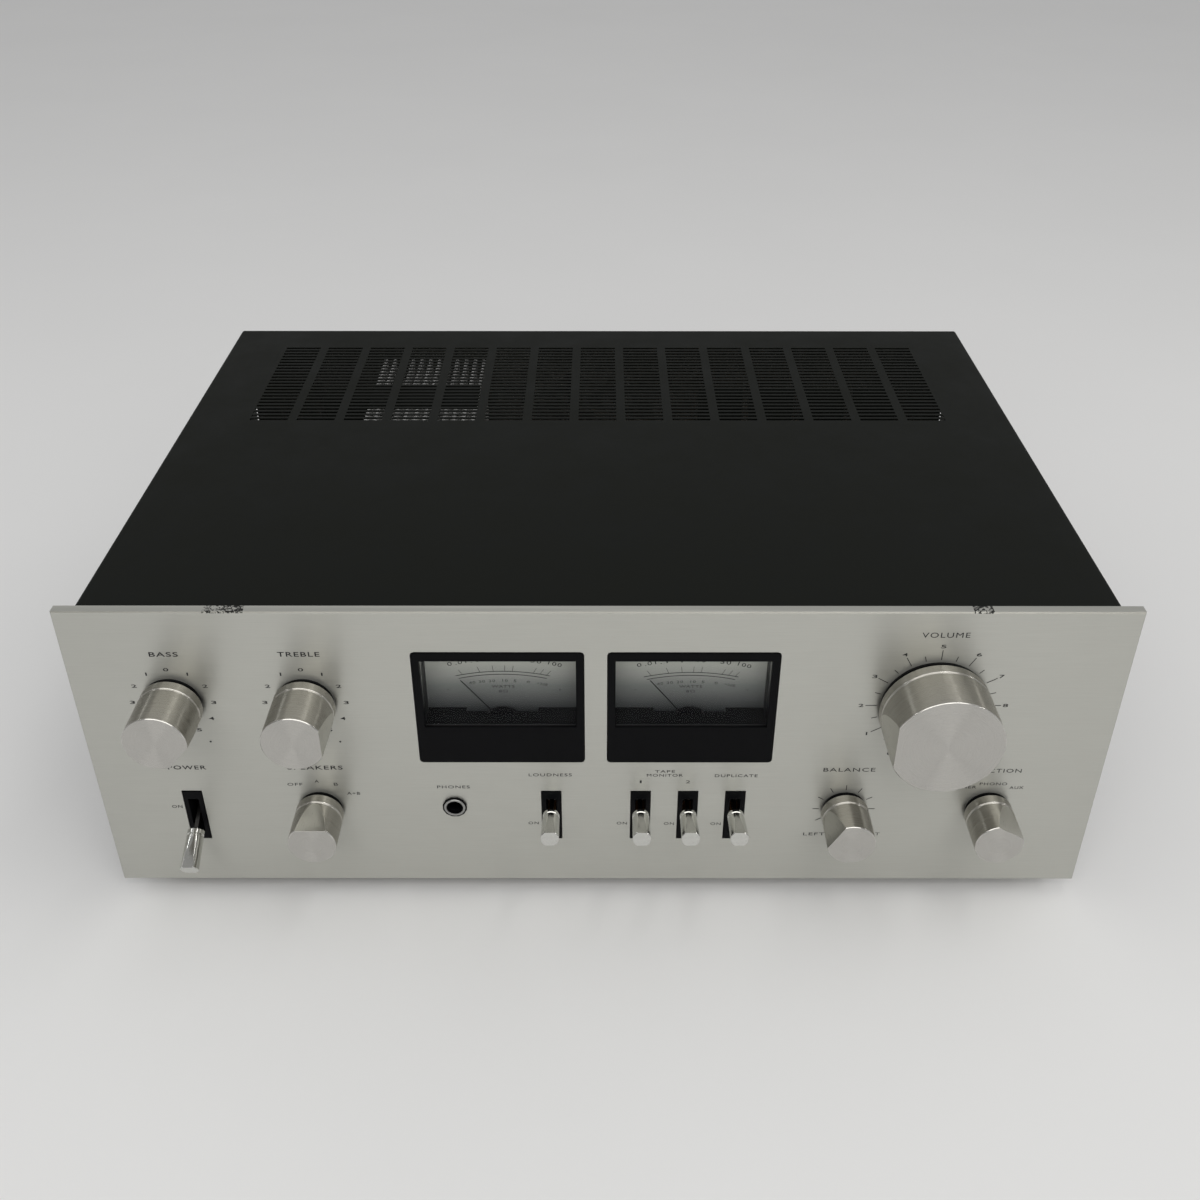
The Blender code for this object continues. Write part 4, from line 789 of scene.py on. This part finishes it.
def make_bonnet():
    """The painted cover, whose sheet is thinned from below where it is slotted."""
    low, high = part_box("top_cover")
    half, top = high.x, high.z
    edge = half - BONNET_FIELD_EDGE
    xs = [-edge]
    for column in range(VENT_COLUMNS):
        x = VENT_SHIFT + (column - (VENT_COLUMNS - 1) / 2) * VENT_COLUMN_PITCH
        xs += [x - VENT_LENGTH / 2, x + VENT_LENGTH / 2]
    xs.append(edge)
    ys = [low.y]
    for row in range(VENT_ROWS):
        y = VENT_FRONT_ROW + row * VENT_ROW_PITCH
        ys += [y - VENT_WIDTH / 2, y + VENT_WIDTH / 2]
    ys.append(high.y)
    under = top - BONNET_SHEET
    seam = top - BONNET_SKIN
    shapes = [slotted_sheet(xs, ys, top, BONNET_SKIN)]
    shapes.append(block((-edge, low.y, under), (edge, ys[1] - BONNET_THIN_EDGE, seam)))
    shapes.append(block((-edge, ys[-2] + BONNET_THIN_EDGE, under), (edge, high.y, seam)))
    for side in (1, -1):
        shapes.append(prism(bonnet_side(side, half, top, low.z), low.y, high.y))
    materials = [MATERIALS["bonnet_paint"]]
    return make("bonnet_sheet", joined(shapes), materials, "case", replaces=["top_cover"])


def make_phones_ring():
    """The plated ring inside the jack's black collar, with a stepped throat."""
    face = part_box("phones_jack")[0].y - PANEL_FACE
    middle = box_middle("phones_jack")
    ring = [(0.00450, 0.0004), (0.00450, -0.0001), (0.00435, -0.00025), (0.00360, -0.00025)]
    throat = [(0.00344, 0.0001), (0.00330, 0.0014), (0.00295, 0.0020), (0.00280, 0.0060), (0.00325, 0.0060)]
    profile = run(0, *ring) + run(1, *throat) + run(0, (0.00325, 0.0024))
    shape = moved(lathe(profile, 64), Matrix.Translation((0, face, 0)))
    at = (middle.x, PANEL_FACE, middle.z)
    return make("phones_ring", shape, [RING_STEEL, BLACK_PLASTIC], "case", at)


def facing(outward):
    """The turn that makes what faces -Y face outward."""
    return Vector((0, -1, 0)).rotation_difference(Vector(outward)).to_matrix().to_4x4()


def screw_head(radius, height, head=0, recess=1):
    """A domed head with a dark cross set into it as a painted shadow of a cross recess, facing -Y; head and recess
    are material numbers.
    """
    dome = [(0, 1), (0.55, 1), (0.90, 0.7), (1, 0.3), (1, 0), (0, 0)]
    dome = [(radius * out, -height * up) for out, up in dome]
    wide, thin = radius * 0.6, radius * 0.12
    front, floor = -height - 0.00002, -height * 0.5
    shapes = [lathe(run(head, *dome), 24)]
    for half_x, half_z in ((wide, thin), (thin, wide)):
        shapes.append(block((-half_x, front, -half_z), (half_x, floor, half_z), recess))
    return joined(shapes)


def make_screws(name, places, outward, radius=0.0030, height=0.0015):
    turn = facing(outward)
    shapes = [moved(screw_head(radius, height), Matrix.Translation(place) @ turn) for place in places]
    return make(name, joined(shapes), [STEEL_SHAFT, RECESS_SHADE], "case")


def make_case_screws():
    """The screws that hold the bonnet, the rear panel and its fittings, the base and the boards."""
    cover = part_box("top_cover")
    for name, x, way in (("left", cover[0].x, -1), ("right", cover[1].x, 1)):
        places = [(x, y, 0.021) for y in (-0.100, 0.010, 0.125)]
        make_screws(f"cover_screws_{name}", places, (way, 0, 0))
    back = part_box("rear_panel")[1].y
    places = [(x, back, z) for x in (-0.193, -0.065, 0.045, 0.193) for z in (0.018, 0.140)]
    make_screws("rear_screws", places, (0, 1, 0))
    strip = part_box("input_jack_strip")
    face = strip[0].y + JACK_PLATE
    z = box_middle("input_jack_strip").z
    places = [(x, face, z) for x in (strip[0].x + 0.0043, strip[1].x - 0.0043)]
    outlets = box_middle("outlet_block")
    places.append((outlets.x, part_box("outlet_block")[1].y, outlets.z))
    make_screws("fitting_screws", places, (0, 1, 0), 0.0022, 0.0012)
    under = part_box("chassis_base")[0].z
    places = [(x, y, under) for x in (-0.188, 0.0, 0.188) for y in (-0.122, 0.142)]
    places += [(x, y, under) for x in (-0.176, -0.080) for y in (-0.068, -0.008)]
    make_screws("base_screws", places, (0, 0, -1))
    for board in ("power_amp_board", "preamp_board"):
        low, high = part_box(board)
        xs = (low.x + BOARD_SCREW_INSET, high.x - BOARD_SCREW_INSET)
        ys = (low.y + BOARD_SCREW_INSET, high.y - BOARD_SCREW_INSET)
        places = [(x, y, BOARD_TOP) for x in xs for y in ys]
        make_screws(f"{board}_screws", places, (0, 0, 1), 0.0026, 0.0015)


def phono_socket(colour):
    """A plated shell round a coloured insulator, on a moulded collar, facing -Y."""
    collar = [(0.0041, 0), (0.0056, 0), (0.0054, -0.0007), (0.0041, -0.0007)]
    shell = [(0.0033, 0), (0.00415, 0), (0.00415, -0.0082), (0.00395, -0.0085)]
    shell += [(0.00345, -0.0085), (0.0033, -0.0083)]
    core = [(0.0017, -0.0005), (0.0017, -0.0064), (0.0020, -0.0068), (0.0033, -0.0068), (0.0033, -0.0005)]
    rounds = ((0, collar), (1, shell), (colour, core))
    return joined([lathe(run(material, *points), 32) for material, points in rounds])


def ground_post():
    """A threaded post with a round nut, facing -Y."""
    base = [(0, 0), (0.0030, 0), (0.0030, -0.0010), (0.0020, -0.0010)]
    nut = [(0.0020, -0.0030), (0.0042, -0.0030), (0.0045, -0.0033), (0.0045, -0.0069), (0.0042, -0.0072)]
    stud = [(0.0020, -0.0072), (0.0020, -0.0097), (0.0017, -0.0100), (0, -0.0100)]
    return lathe(run(1, *base, *nut, *stud), 32)


def make_jacks():
    """The input strip: a moulded plate, two rows of phono sockets and the ground post."""
    low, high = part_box("input_jack_strip")
    middle = (low + high) / 2
    face = low.y + JACK_PLATE
    shapes = [block(low, (high.x, face, high.z), 0)]
    for column in range(JACK_COLUMNS):
        x = middle.x + (column - (JACK_COLUMNS - 1) / 2) * JACK_PITCH_X
        for row in (-1, 1):
            post = (column, row) == (0, -1)
            shape = ground_post() if post else phono_socket(2 if row > 0 else 3)
            at = Matrix.Translation((x, face, middle.z + row * JACK_PITCH_Z / 2))
            shapes.append(moved(shape, at @ facing((0, 1, 0))))
    materials = [BLACK_PLASTIC, NICKEL, SOCKET_WHITE, SOCKET_RED]
    nodes = ["input_jack_strip"]
    return make("jack_strip_moulded", joined(shapes), materials, "case", replaces=nodes)


def make_terminals():
    """A screw on a saddle plate in each bay of the speaker terminals."""
    low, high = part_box("speaker_terminals")
    step = (high.x - low.x - TERMINAL_RIB) / TERMINAL_COUNT
    z = (low.z + high.z) / 2
    base = low.y + TERMINAL_DEPTH
    shapes = []
    for k in range(TERMINAL_COUNT):
        x = low.x + k * step + (step + TERMINAL_RIB) / 2
        corner = (x + 0.0044, base + 0.0005, z + 0.0050)
        shapes.append(block((x - 0.0044, base - 0.0002, z - 0.0050), corner, 2))
        at = Matrix.Translation((x, base + 0.0005, z))
        shapes.append(moved(screw_head(0.0032, 0.0022), at @ facing((0, 1, 0))))
    return make("terminal_screws", joined(shapes), [NICKEL, RECESS_SHADE, BRASS], "case")


def make_outlet_contacts():
    """Brass contacts down inside the slots of the outlets."""
    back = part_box("outlet_block")[1].y
    x, _, z = box_middle("outlet_block")
    shapes = []
    for outlet in (-0.016, 0.016):
        for slot in (-0.00635, 0.00635):
            middle = x + outlet + slot
            corner = (middle + 0.0009, back - 0.003, z + 0.0032)
            shapes.append(block((middle + 0.0004, back - 0.010, z - 0.0032), corner))
    return make("outlet_contacts", joined(shapes), [BRASS], "case")


def make_gland():
    """A round ribbed bush with a flange."""
    low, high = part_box("cord_gland")
    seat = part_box("rear_panel")[1].y
    profile = [(0.0035, low.y), (0.0062, low.y), (0.0062, seat + 0.0003), (0.0083, seat + 0.0003)]
    profile += [(0.0085, seat + 0.0006), (0.0085, seat + 0.0024), (0.0082, seat + 0.0028)]
    y = seat + 0.0028
    while y < high.y - 0.0022:
        profile += [(0.0062, y), (0.0062, y + 0.0010), (0.0055, y + 0.0011), (0.0055, y + 0.0017)]
        y += 0.0018
    profile += [(0.0060, y), (0.0058, high.y - 0.0004), (0.0050, high.y), (0.0035, high.y)]
    shape = lathe(run(0, *profile), 48)
    middle = box_middle("cord_gland")
    at = (middle.x, 0, middle.z)
    nodes = ["cord_gland"]
    return make("cord_gland_moulded", shape, [BLACK_PLASTIC], "case", at, replaces=nodes)


def make_foot(name):
    """A round rubber foot with its screw up inside."""
    low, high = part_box(name)
    seat = -(high.z - low.z)
    profile = [(0, seat + 0.0045), (0.0042, seat + 0.0045), (0.0042, seat + 0.0003), (0.0045, seat)]
    profile += [(0.0095, seat), (0.0106, seat + 0.0005), (0.0110, seat + 0.0016), (0.0106, 0), (0, 0)]
    head = moved(screw_head(0.0034, 0.0018, 1, 2), Matrix.Translation((0, seat + 0.0045, 0)))
    shape = moved(joined([lathe(run(0, *profile), 48), head]), facing((0, 0, -1)))
    at = (*box_middle(name).xy, high.z)
    materials = [MATERIALS["foot_rubber"], STEEL_SHAFT, RECESS_SHADE]
    return make(f"{name}_turned", shape, materials, "case", at, replaces=[name])


def make_capacitor(name):
    """A sleeved can with a rolled rim, a moulded top and two screw terminals."""
    low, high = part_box(name)
    radius = CAPACITOR_RADIUS
    end = low.z - high.z
    top = end + 0.0024
    sleeve = [(0, 0), (radius - 0.0005, 0), (radius, -0.0005), (radius, top), (radius - 0.0004, end + 0.0014)]
    sleeve += [(radius - 0.0011, end + 0.0010), (radius - 0.0021, end + 0.0016)]
    shapes = [lathe(run(0, *sleeve) + run(1, (radius - 0.0025, top), (0, top)), 48)]
    for x in (-0.006, 0.006):
        head = screw_head(0.0026, 0.0018, 2, 3)
        shapes.append(moved(head, Matrix.Translation((x, top, 0))))
    shape = moved(joined(shapes), facing((0, 0, 1)))
    at = (*box_middle(name).xy, low.z)
    materials = [MATERIALS["capacitor_sleeve"], CAP_TOP, NICKEL, RECESS_SHADE]
    return make(f"{name}_can", shape, materials, "case", at, replaces=[name])


def make_transistors():
    """Two power transistors on each heat sink's plate, in the space between the two."""
    can = run(0, (0, 0), (0.0125, 0), (0.0125, -0.0016), (0.0105, -0.0016))
    can += run(0, (0.0105, -0.0078), (0.0099, -0.0084), (0, -0.0084))
    x = box_middle("rear_heat_sink").x
    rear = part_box("rear_heat_sink")[0].y
    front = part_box("front_heat_sink")[1].y
    shapes = []
    for side in (-0.0140, 0.0140):
        for y, z, way in ((rear, 0.105, -1), (front, 0.060, 1)):
            at = Matrix.Translation((x + side, y, z))
            shapes.append(moved(lathe(can, 32), at @ facing((0, way, 0))))
    return make("power_transistors", joined(shapes), [NICKEL], "case")


def make_sink_tray():
    """A dark sheet over the space between the heat sinks, put there as painted shadow."""
    low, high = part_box("front_heat_sink")
    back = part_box("rear_heat_sink")[0].y
    start, end = high.y - SINK_SHADE_LAP, back + SINK_SHADE_REAR_LAP
    top = high.z + SINK_SHADE_SHEET
    shade_sheet = block((low.x, start, high.z), (high.x, end, top))
    rim = block((low.x, start, top), (high.x, start + SINK_SHADE_RIM, top + SINK_SHADE_RIM))
    return make("sink_shade_sheet", joined([shade_sheet, rim]), [BLACK_PLASTIC], "case")


def make_board_parts(name, low, high, pitch):
    """Rows of small capacitors and resistors standing on a board, from one corner to another."""
    shapes = []
    columns = int((high[0] - low[0]) / pitch)
    rows = int((high[1] - low[1]) / pitch)
    for column in range(columns):
        for row in range(rows):
            x, y = low[0] + (column + 0.5) * pitch, low[1] + (row + 0.5) * pitch
            at = Matrix.Translation((x, y, BOARD_TOP))
            kind = (3 * column + 5 * row) % 4
            if kind == 0:
                radius, tall = 0.0030 + 0.0006 * (column % 2), 0.010 + 0.002 * (row % 3)
                can = run(0, (0, 0), (radius, 0), (radius, -tall + 0.0005))
                can += run(1, (radius - 0.0005, -tall), (0, -tall))
                shapes.append(moved(lathe(can, 20), at @ facing((0, 0, 1))))
            elif kind < 3:
                body = run(2, (0, -0.0032), (0.0011, -0.0030), (0.0009, -0.0018), (0.0009, 0.0018))
                body += run(2, (0.0011, 0.0030), (0, 0.0032))
                turn = facing((1, 0, 0)) if kind == 1 else Matrix.Identity(4)
                lifted = Matrix.Translation((0, 0, 0.0016))
                shapes.append(moved(lathe(body, 12), at @ lifted @ turn))
                for end in (-0.0036, 0.0036):
                    lead = block((-0.0003, end - 0.0003, -0.0016), (0.0003, end + 0.0003, 0.0003), 3)
                    shapes.append(moved(lead, at @ lifted @ turn))
    materials = [MATERIALS["capacitor_sleeve"], NICKEL, RESISTOR_BODY, NICKEL]
    return make(name, joined(shapes), materials, "case")


def outlined(curve):
    """A curve's surface as a shape; the curve itself is removed."""
    holder = bpy.data.objects.new("outlined", curve)
    mesh = bpy.data.meshes.new_from_object(holder)
    shape = bmesh.new()
    shape.from_mesh(mesh)
    bpy.data.objects.remove(holder)
    bpy.data.curves.remove(curve)
    bpy.data.meshes.remove(mesh)
    return shape


def wire(points, radius, material):
    """A round wire that runs smoothly by the points."""
    curve = bpy.data.curves.new("wire", "CURVE")
    curve.dimensions = "3D"
    curve.bevel_depth = radius
    curve.bevel_resolution = 3
    spline = curve.splines.new("NURBS")
    spline.points.add(len(points) - 1)
    for point, place in zip(spline.points, points):
        point.co = (*place, 1.0)
    spline.order_u = 3
    spline.use_endpoint_u = True
    shape = outlined(curve)
    for face in shape.faces:
        face.material_index = material
    return shape


def make_wiring():
    """The runs from the transformer to the power board, and from the preamplifier board to the front."""
    shapes = []
    for k in range(4):
        x = -0.150 + 0.012 * k
        points = [(x, -0.010, 0.060), (x, 0.006, 0.064)]
        points += [(x + 0.004, 0.016, 0.040), (x + 0.002, 0.026, WIRE_END)]
        shapes.append(wire(points, 0.0009, k))
    for k in range(4):
        x = 0.060 + 0.003 * k
        run_down = ((0.020, WIRE_END), (0.004, 0.034), (-0.060, 0.030), (-0.104, 0.034), (-0.1105, 0.046))
        points = [(x, y, z) for y, z in run_down]
        shapes.append(wire(points, 0.0007, (k + 2) % 4))
    for k in range(4):
        z = 0.095 + 0.0032 * k
        points = [(0.134, -0.1000, z), (0.134, -0.080, z - 0.010)]
        points += [(0.130, -0.030, 0.060), (0.110 + 0.004 * k, 0.020, WIRE_END)]
        shapes.append(wire(points, 0.0007, k))
    return make("wiring", joined(shapes), WIRE_COLOURS, "case")


def make_needle(side):
    """A fine pointer on its hub and spindle."""
    axis = AXES[f"{side}_needle"]
    low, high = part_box(f"{side}_meter_needle")
    front, back = low.y - axis.y, high.y - axis.y
    hub_back = front + NEEDLE_HUB_THICKNESS
    middle = front + NEEDLE_HUB_THICKNESS / 2
    hub = run(0, (0, front), (0.0018, front), (0.0020, front + 0.0002), (0.0020, hub_back))
    hub += run(0, (0.0008, hub_back), (0.0008, back), (0, back))
    root, tip = 0.00020, 0.00012
    outline = [(-0.0006, -NEEDLE_TAIL), (0.0006, -NEEDLE_TAIL), (root, 0), (tip, NEEDLE_LENGTH)]
    outline += [(-tip, NEEDLE_LENGTH), (-root, 0)]
    blade = prism(outline, middle - 0.00012, middle + 0.00012)
    shape = joined([lathe(hub, 32), blade])
    body = f"{side}_needle"
    turn = (0, NEEDLE_REST, 0)
    materials = [BLACK_PLASTIC]
    nodes = [f"{side}_meter_needle"]
    return make(f"{side}_pointer", shape, materials, body, tuple(axis), turn, replaces=nodes)


def words(text, width, cap, weight, resolution=3):
    """The built-in font's outlines, stretched to a width and a cap height, facing -Y about the origin."""
    curve = bpy.data.curves.new("words", "FONT")
    curve.body = text
    curve.resolution_u = resolution
    curve.extrude = 0.5
    curve.offset = weight
    curve.space_character = LETTER_SPACING
    shape = outlined(curve)
    low = [min(v.co[i] for v in shape.verts) for i in range(2)]
    high = [max(v.co[i] for v in shape.verts) for i in range(2)]
    scale = (width / (high[0] - low[0]), cap / (high[1] - low[1]), INK_DEPTH)
    middle = Vector(((low[0] + high[0]) / 2, (low[1] + high[1]) / 2, 0))
    moved(shape, Matrix.Diagonal((*scale, 1)) @ Matrix.Translation(-middle))
    return moved(shape, Matrix.Rotation(math.pi / 2, 4, "X"))


def bar(start, end, width):
    """A printed line between two (x, z) points, facing -Y."""
    start, end = Vector(start), Vector(end)
    along = end - start
    side = Vector((-along.y, along.x)).normalized() * width / 2
    return prism([start - side, start + side, end + side, end - side], -INK_DEPTH / 2, INK_DEPTH / 2)


def arc(middle, radius, start, end, width, steps):
    """A printed arc between two angles from upright, about (x, z), as a row of short bars."""
    shapes = []
    angles = [start + (end - start) * k / steps for k in range(steps + 1)]
    points = [(middle[0] + radius * math.sin(a), middle[1] + radius * math.cos(a)) for a in angles]
    for one, two in zip(points, points[1:]):
        shapes.append(bar(one, two, width))
    return shapes


def dot(x, z, radius, sides=20):
    shape = bmesh.new()
    bmesh.ops.create_cone(
        shape, cap_ends=True, segments=sides, radius1=radius, radius2=radius, depth=INK_DEPTH
    )
    return moved(shape, Matrix.Translation((x, 0, z)) @ Matrix.Rotation(math.pi / 2, 4, "X"))


def around(x, z, radius, degrees):
    """The (x, z) point at a radius and an angle from upright."""
    angle = math.radians(degrees)
    return (x + radius * math.sin(angle), z + radius * math.cos(angle))


# Words on the panel: text, x and drop below the panel's top edge, width and cap height, all in millimetres
PANEL_WORDS = [
    ("BASS", -170.0, 20.0, 11.4, 2.2),
    ("TREBLE", -117.2, 19.9, 16.5, 2.2),
    ("POWER", -170.9, 77.9, 15.9, 2.1),
    ("ON", -178.8, 99.6, 4.4, 1.55),
    ("SPEAKERS", -117.7, 77.9, 23.0, 2.1),
    ("OFF", -127.2, 87.1, 6.3, 1.5),
    ("A", -117.9, 85.4, 1.8, 1.5),
    ("B", -110.0, 87.0, 1.8, 1.5),
    ("A+B", -103.1, 92.1, 5.5, 1.5),
    ("PHONES", -60.8, 88.5, 13.7, 1.55),
    ("LOUDNESS", -20.0, 81.8, 18.0, 1.55),
    ("ON", -27.7, 108.9, 4.4, 1.5),
    ("TAPE", 27.8, 79.9, 8.3, 1.3),
    ("MONITOR", 27.8, 82.0, 15.0, 1.4),
    ("1", 17.8, 85.6, 0.8, 1.5),
    ("2", 37.6, 85.6, 1.9, 1.5),
    ("ON", 10.1, 109.0, 4.4, 1.5),
    ("ON", 30.3, 109.2, 4.4, 1.5),
    ("DUPLICATE", 57.6, 82.2, 17.9, 1.5),
    ("ON", 50.3, 109.3, 4.4, 1.5),
    ("VOLUME", 134.7, 10.6, 18.7, 2.4),
    ("BALANCE", 104.5, 78.9, 21.6, 2.0),
    ("LEFT", 93.0, 115.2, 9.2, 1.6),
    ("RIGHT", 116.0, 115.2, 10.6, 1.6),
    ("FUNCTION", 165.0, 79.4, 22.4, 2.0),
    ("TUNER", 153.5, 88.4, 10.5, 1.5),
    ("PHONO", 165.7, 86.6, 11.5, 1.5),
    ("AUX", 175.7, 88.7, 5.8, 1.5),
]


def numeral(text, x, z, cap):
    width, weight = NUMERAL_ONE if text == "1" else NUMERAL_OTHER
    shape = words(text, width * MM, cap * MM, weight)
    return moved(shape, Matrix.Translation((x, 0, z)))


def make_legends():
    """All the print on the panel: words, numbers, ticks and dots."""
    shapes = []
    for text, x, drop, width, cap in PANEL_WORDS:
        fine = cap < BOLD_CAP or "M" in text or "N" in text
        weight = 0.0 if fine else BOLD_WEIGHT
        shape = words(text, width * MM, cap * MM, weight)
        shapes.append(moved(shape, Matrix.Translation((x * MM, 0, PANEL_TOP - drop * MM))))
    for name in ("bass", "treble"):
        axis = AXES[name]
        for number in range(6):
            for side in (-1, 1) if number else (1,):
                x, z = around(axis.x, axis.z, TONE_NUMBERS, 30 * number * side)
                shapes.append(numeral(str(number), x, z, 1.55))
        for side in (-1, 1):
            shapes.append(dot(*around(axis.x, axis.z, TONE_DOTS, 150 * side), DOT_RADIUS))
    axis = AXES["volume"]
    for half in range(21):
        degrees = 15 * (half - 10)
        whole = half % 2 == 0
        start = around(axis.x, axis.z, VOLUME_TICK, degrees)
        end = around(axis.x, axis.z, VOLUME_LONG_END if whole else VOLUME_SHORT_END, degrees)
        shapes.append(bar(start, end, INK_LINE))
        if whole:
            place = around(axis.x, axis.z, VOLUME_NUMBERS, degrees)
            shapes.append(numeral(str(half // 2), *place, 1.6))
    axis = AXES["balance"]
    for step in range(-4, 5):
        degrees = 30 * step
        start = around(axis.x, axis.z, BALANCE_TICK, degrees)
        shapes.append(bar(start, around(axis.x, axis.z, BALANCE_TICK_END, degrees), INK_LINE))
    at = (0, PANEL_FACE - INK_PROUD, 0)
    return make("panel_legends", joined(shapes), [PANEL_INK], "case", at)


def arc_radius(half, rise):
    """The radius of an arc, from half its width and its rise."""
    return (half ** 2 + rise ** 2) / (2 * rise)


def make_scale(side, middle, drops):
    """The print on one dial: two arcs, ticks, two rows of numbers and the unit."""
    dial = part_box(f"{side}_meter_dial")[0]
    axis = AXES[f"{side}_needle"]
    shapes = []
    for (half, rise), drop in zip(DIAL_ARCS, drops):
        radius = arc_radius(half, rise)
        reach = math.asin(half / radius)
        centre = (middle * MM, PANEL_TOP - (drop + radius) * MM)
        shapes += arc(centre, radius * MM, -reach, reach, INK_LINE, 24)
    outer = arc_radius(*DIAL_ARCS[0])
    pivot = Vector((axis.x, axis.z))
    for tick in DIAL_TICKS:
        drop = drops[0] + outer - math.sqrt(outer ** 2 - tick ** 2)
        foot = Vector(((middle + tick) * MM, PANEL_TOP - drop * MM))
        away = (foot - pivot).normalized()
        shapes.append(bar(foot, foot + away * DIAL_TICK_LENGTH, DIAL_TICK_LINE))
    over = (("0", -21.3, 1.9), (".01", -16.8, 4.6), (".1", -11.3, 3.0), ("1", -4.0, 0.7), ("10", 4.0, 3.3))
    over += (("50", 13.8, 4.4), ("100", 21.5, 5.6))
    under = (("40", -12.6, 2.6), ("30", -8.6, 2.6), ("20", -4.5, 2.6), ("10", 0.9, 2.2), ("5", 5.0, 1.2))
    under += (("0", 10.4, 1.3), ("+3dB", 16.1, 4.4))
    for numbers, row_drop, sag, cap in ((over, drops[0] - 6.1, 190, 1.9), (under, drops[1] + 3.2, 150, 1.25)):
        for text, offset, width in numbers:
            drop = row_drop + offset ** 2 / sag
            shape = words(text, width * MM, cap * MM, 0.0, 2)
            turn = Matrix.Rotation(math.radians(offset * 0.75), 4, "Y")
            place = Matrix.Translation(((middle + offset) * MM, 0, PANEL_TOP - drop * MM))
            shapes.append(moved(shape, place @ turn))
    for text, offset, drop, width, cap in (
        ("WATTS", 0.0, 45.5, 9.4, 1.25),
        ("8Ω", 0.0, 47.9, 3.7, 1.3),
        ("-", -22.7, 47.2, 1.0, 0.25),
        ("+", 23.3, 47.2, 1.0, 1.0),
    ):
        shape = words(text, width * MM, cap * MM, 0.004, 2)
        shapes.append(moved(shape, Matrix.Translation(((middle + offset) * MM, 0, PANEL_TOP - drop * MM))))
    at = (0, dial.y - INK_PROUD, 0)
    return make(f"{side}_meter_scale", joined(shapes), [DIAL_INK], "case", at)


def make_stage():
    """A pale floor, a soft studio and the camera."""
    floor = Surface("stage_floor", (0.80, 0.80, 0.80), 0.0, 0.9, Specular_IOR_Level=0.2)
    floor.vary(floor.noise(0.004), (0.80, 0.80, 0.80), 0.02, 0.9, 0.03)
    shape = bmesh.new()
    bmesh.ops.create_grid(shape, x_segments=2, y_segments=2, size=4.0)
    mesh = bpy.data.meshes.new("stage_floor")
    shape.to_mesh(mesh)
    shape.free()
    mesh.materials.append(floor.material)
    plane = add_object("stage_floor", mesh)

    world = bpy.data.worlds.new("studio")
    bpy.context.scene.world = world
    world.use_nodes = True
    sky = Nodes(world.node_tree)
    where = sky.add("TexCoord").outputs["Generated"]
    parts = sky.add("SeparateXYZ", {"Vector": where}).outputs
    front = sky.spread(sky.sums("MULTIPLY", parts[1], -1.0), 0.0, 1.0, 0.35, 0.85)
    above = sky.spread(parts[2], 0.0, 1.0, 0.06, 0.22)
    below = sky.spread(parts[2], 1.0, 0.0, 0.62, 0.85)
    shade = sky.sums("MULTIPLY", front, sky.sums("MULTIPLY", above, below))
    left = sky.sums("MULTIPLY", sky.spread(parts[0], 0.75, 0.0, -0.9, -0.3), above)
    shade = sky.sums("MAXIMUM", shade, left)
    background = world.node_tree.nodes["Background"]
    sky.put(background, "Color", sky.mix(shade, (0.85, 0.85, 0.85), (0.42, 0.415, 0.40)))
    background.inputs["Strength"].default_value = 0.66

    lamps = (
        ("key", (0.1, -1.5, 1.35), (0, 0, 0.05), (2.4, 1.4), 18.0, (1.0, 0.99, 0.97)),
        ("tube_left", (-1.25, -0.2, 1.12), (0, 0, 0.05), (1.2, 0.05), 1.6, (0.97, 0.99, 1.0)),
        ("tube_middle", (0.55, -0.2, 1.5), (0, 0, 0.05), (1.2, 0.05), 1.8, (1.0, 0.99, 0.97)),
        ("tube_right", (1.45, -0.2, 0.84), (0, 0, 0.05), (1.2, 0.05), 1.6, (1.0, 0.98, 0.95)),
    )
    for name, place, target, size, power, colour in lamps:
        light = bpy.data.lights.new(name, "AREA")
        light.shape = "RECTANGLE"
        light.size, light.size_y = size
        light.energy = power
        light.color = colour
        lamp = add_object(name, light)
        lamp.location = place
        lamp.rotation_euler = (Vector(target) - Vector(place)).to_track_quat("-Z", "Y").to_euler()

    camera = bpy.data.cameras.new("photograph")
    camera.lens = CAMERA_LENS
    camera.sensor_width = 36
    camera.clip_start = 0.01
    holder = add_object("photograph", camera)
    holder.location = CAMERA_PLACE
    tilt = Matrix.Rotation(CAMERA_TILT, 4, "X") @ Matrix.Rotation(CAMERA_ROLL, 4, "Z")
    holder.rotation_euler = tilt.to_euler()
    bpy.context.scene.camera = holder
    bpy.context.scene.view_settings.view_transform = "Standard"


def corners(box):
    return [[float(value) for value in corner] for corner in box]


make_stage()
dress_nodes()
for knob in KNOB_SIZES:
    make_knob(knob)
    make_knob_washer(knob)
for lever in LEVER_NAMES:
    make_lever(lever)
make_bonnet()
make_phones_ring()
make_case_screws()
make_jacks()
make_terminals()
make_outlet_contacts()
make_gland()
for foot in ("front_left", "front_right", "rear_left", "rear_right"):
    make_foot(f"foot_{foot}")
for side in ("left", "right"):
    make_capacitor(f"{side}_filter_capacitor")
    make_needle(side)
make_transistors()
make_sink_tray()
make_board_parts("power_board_parts", (-0.188, 0.034), (-0.126, 0.130), 0.0115)
make_board_parts("driver_parts", (-0.052, 0.080), (0.018, 0.132), 0.0115)
make_board_parts("preamp_board_parts", (0.058, 0.026), (0.184, 0.130), 0.0125)
make_wiring()
make_legends()
make_scale("left", -39.0, (37.8, 39.3))
make_scale("right", 37.9, (38.3, 39.8))
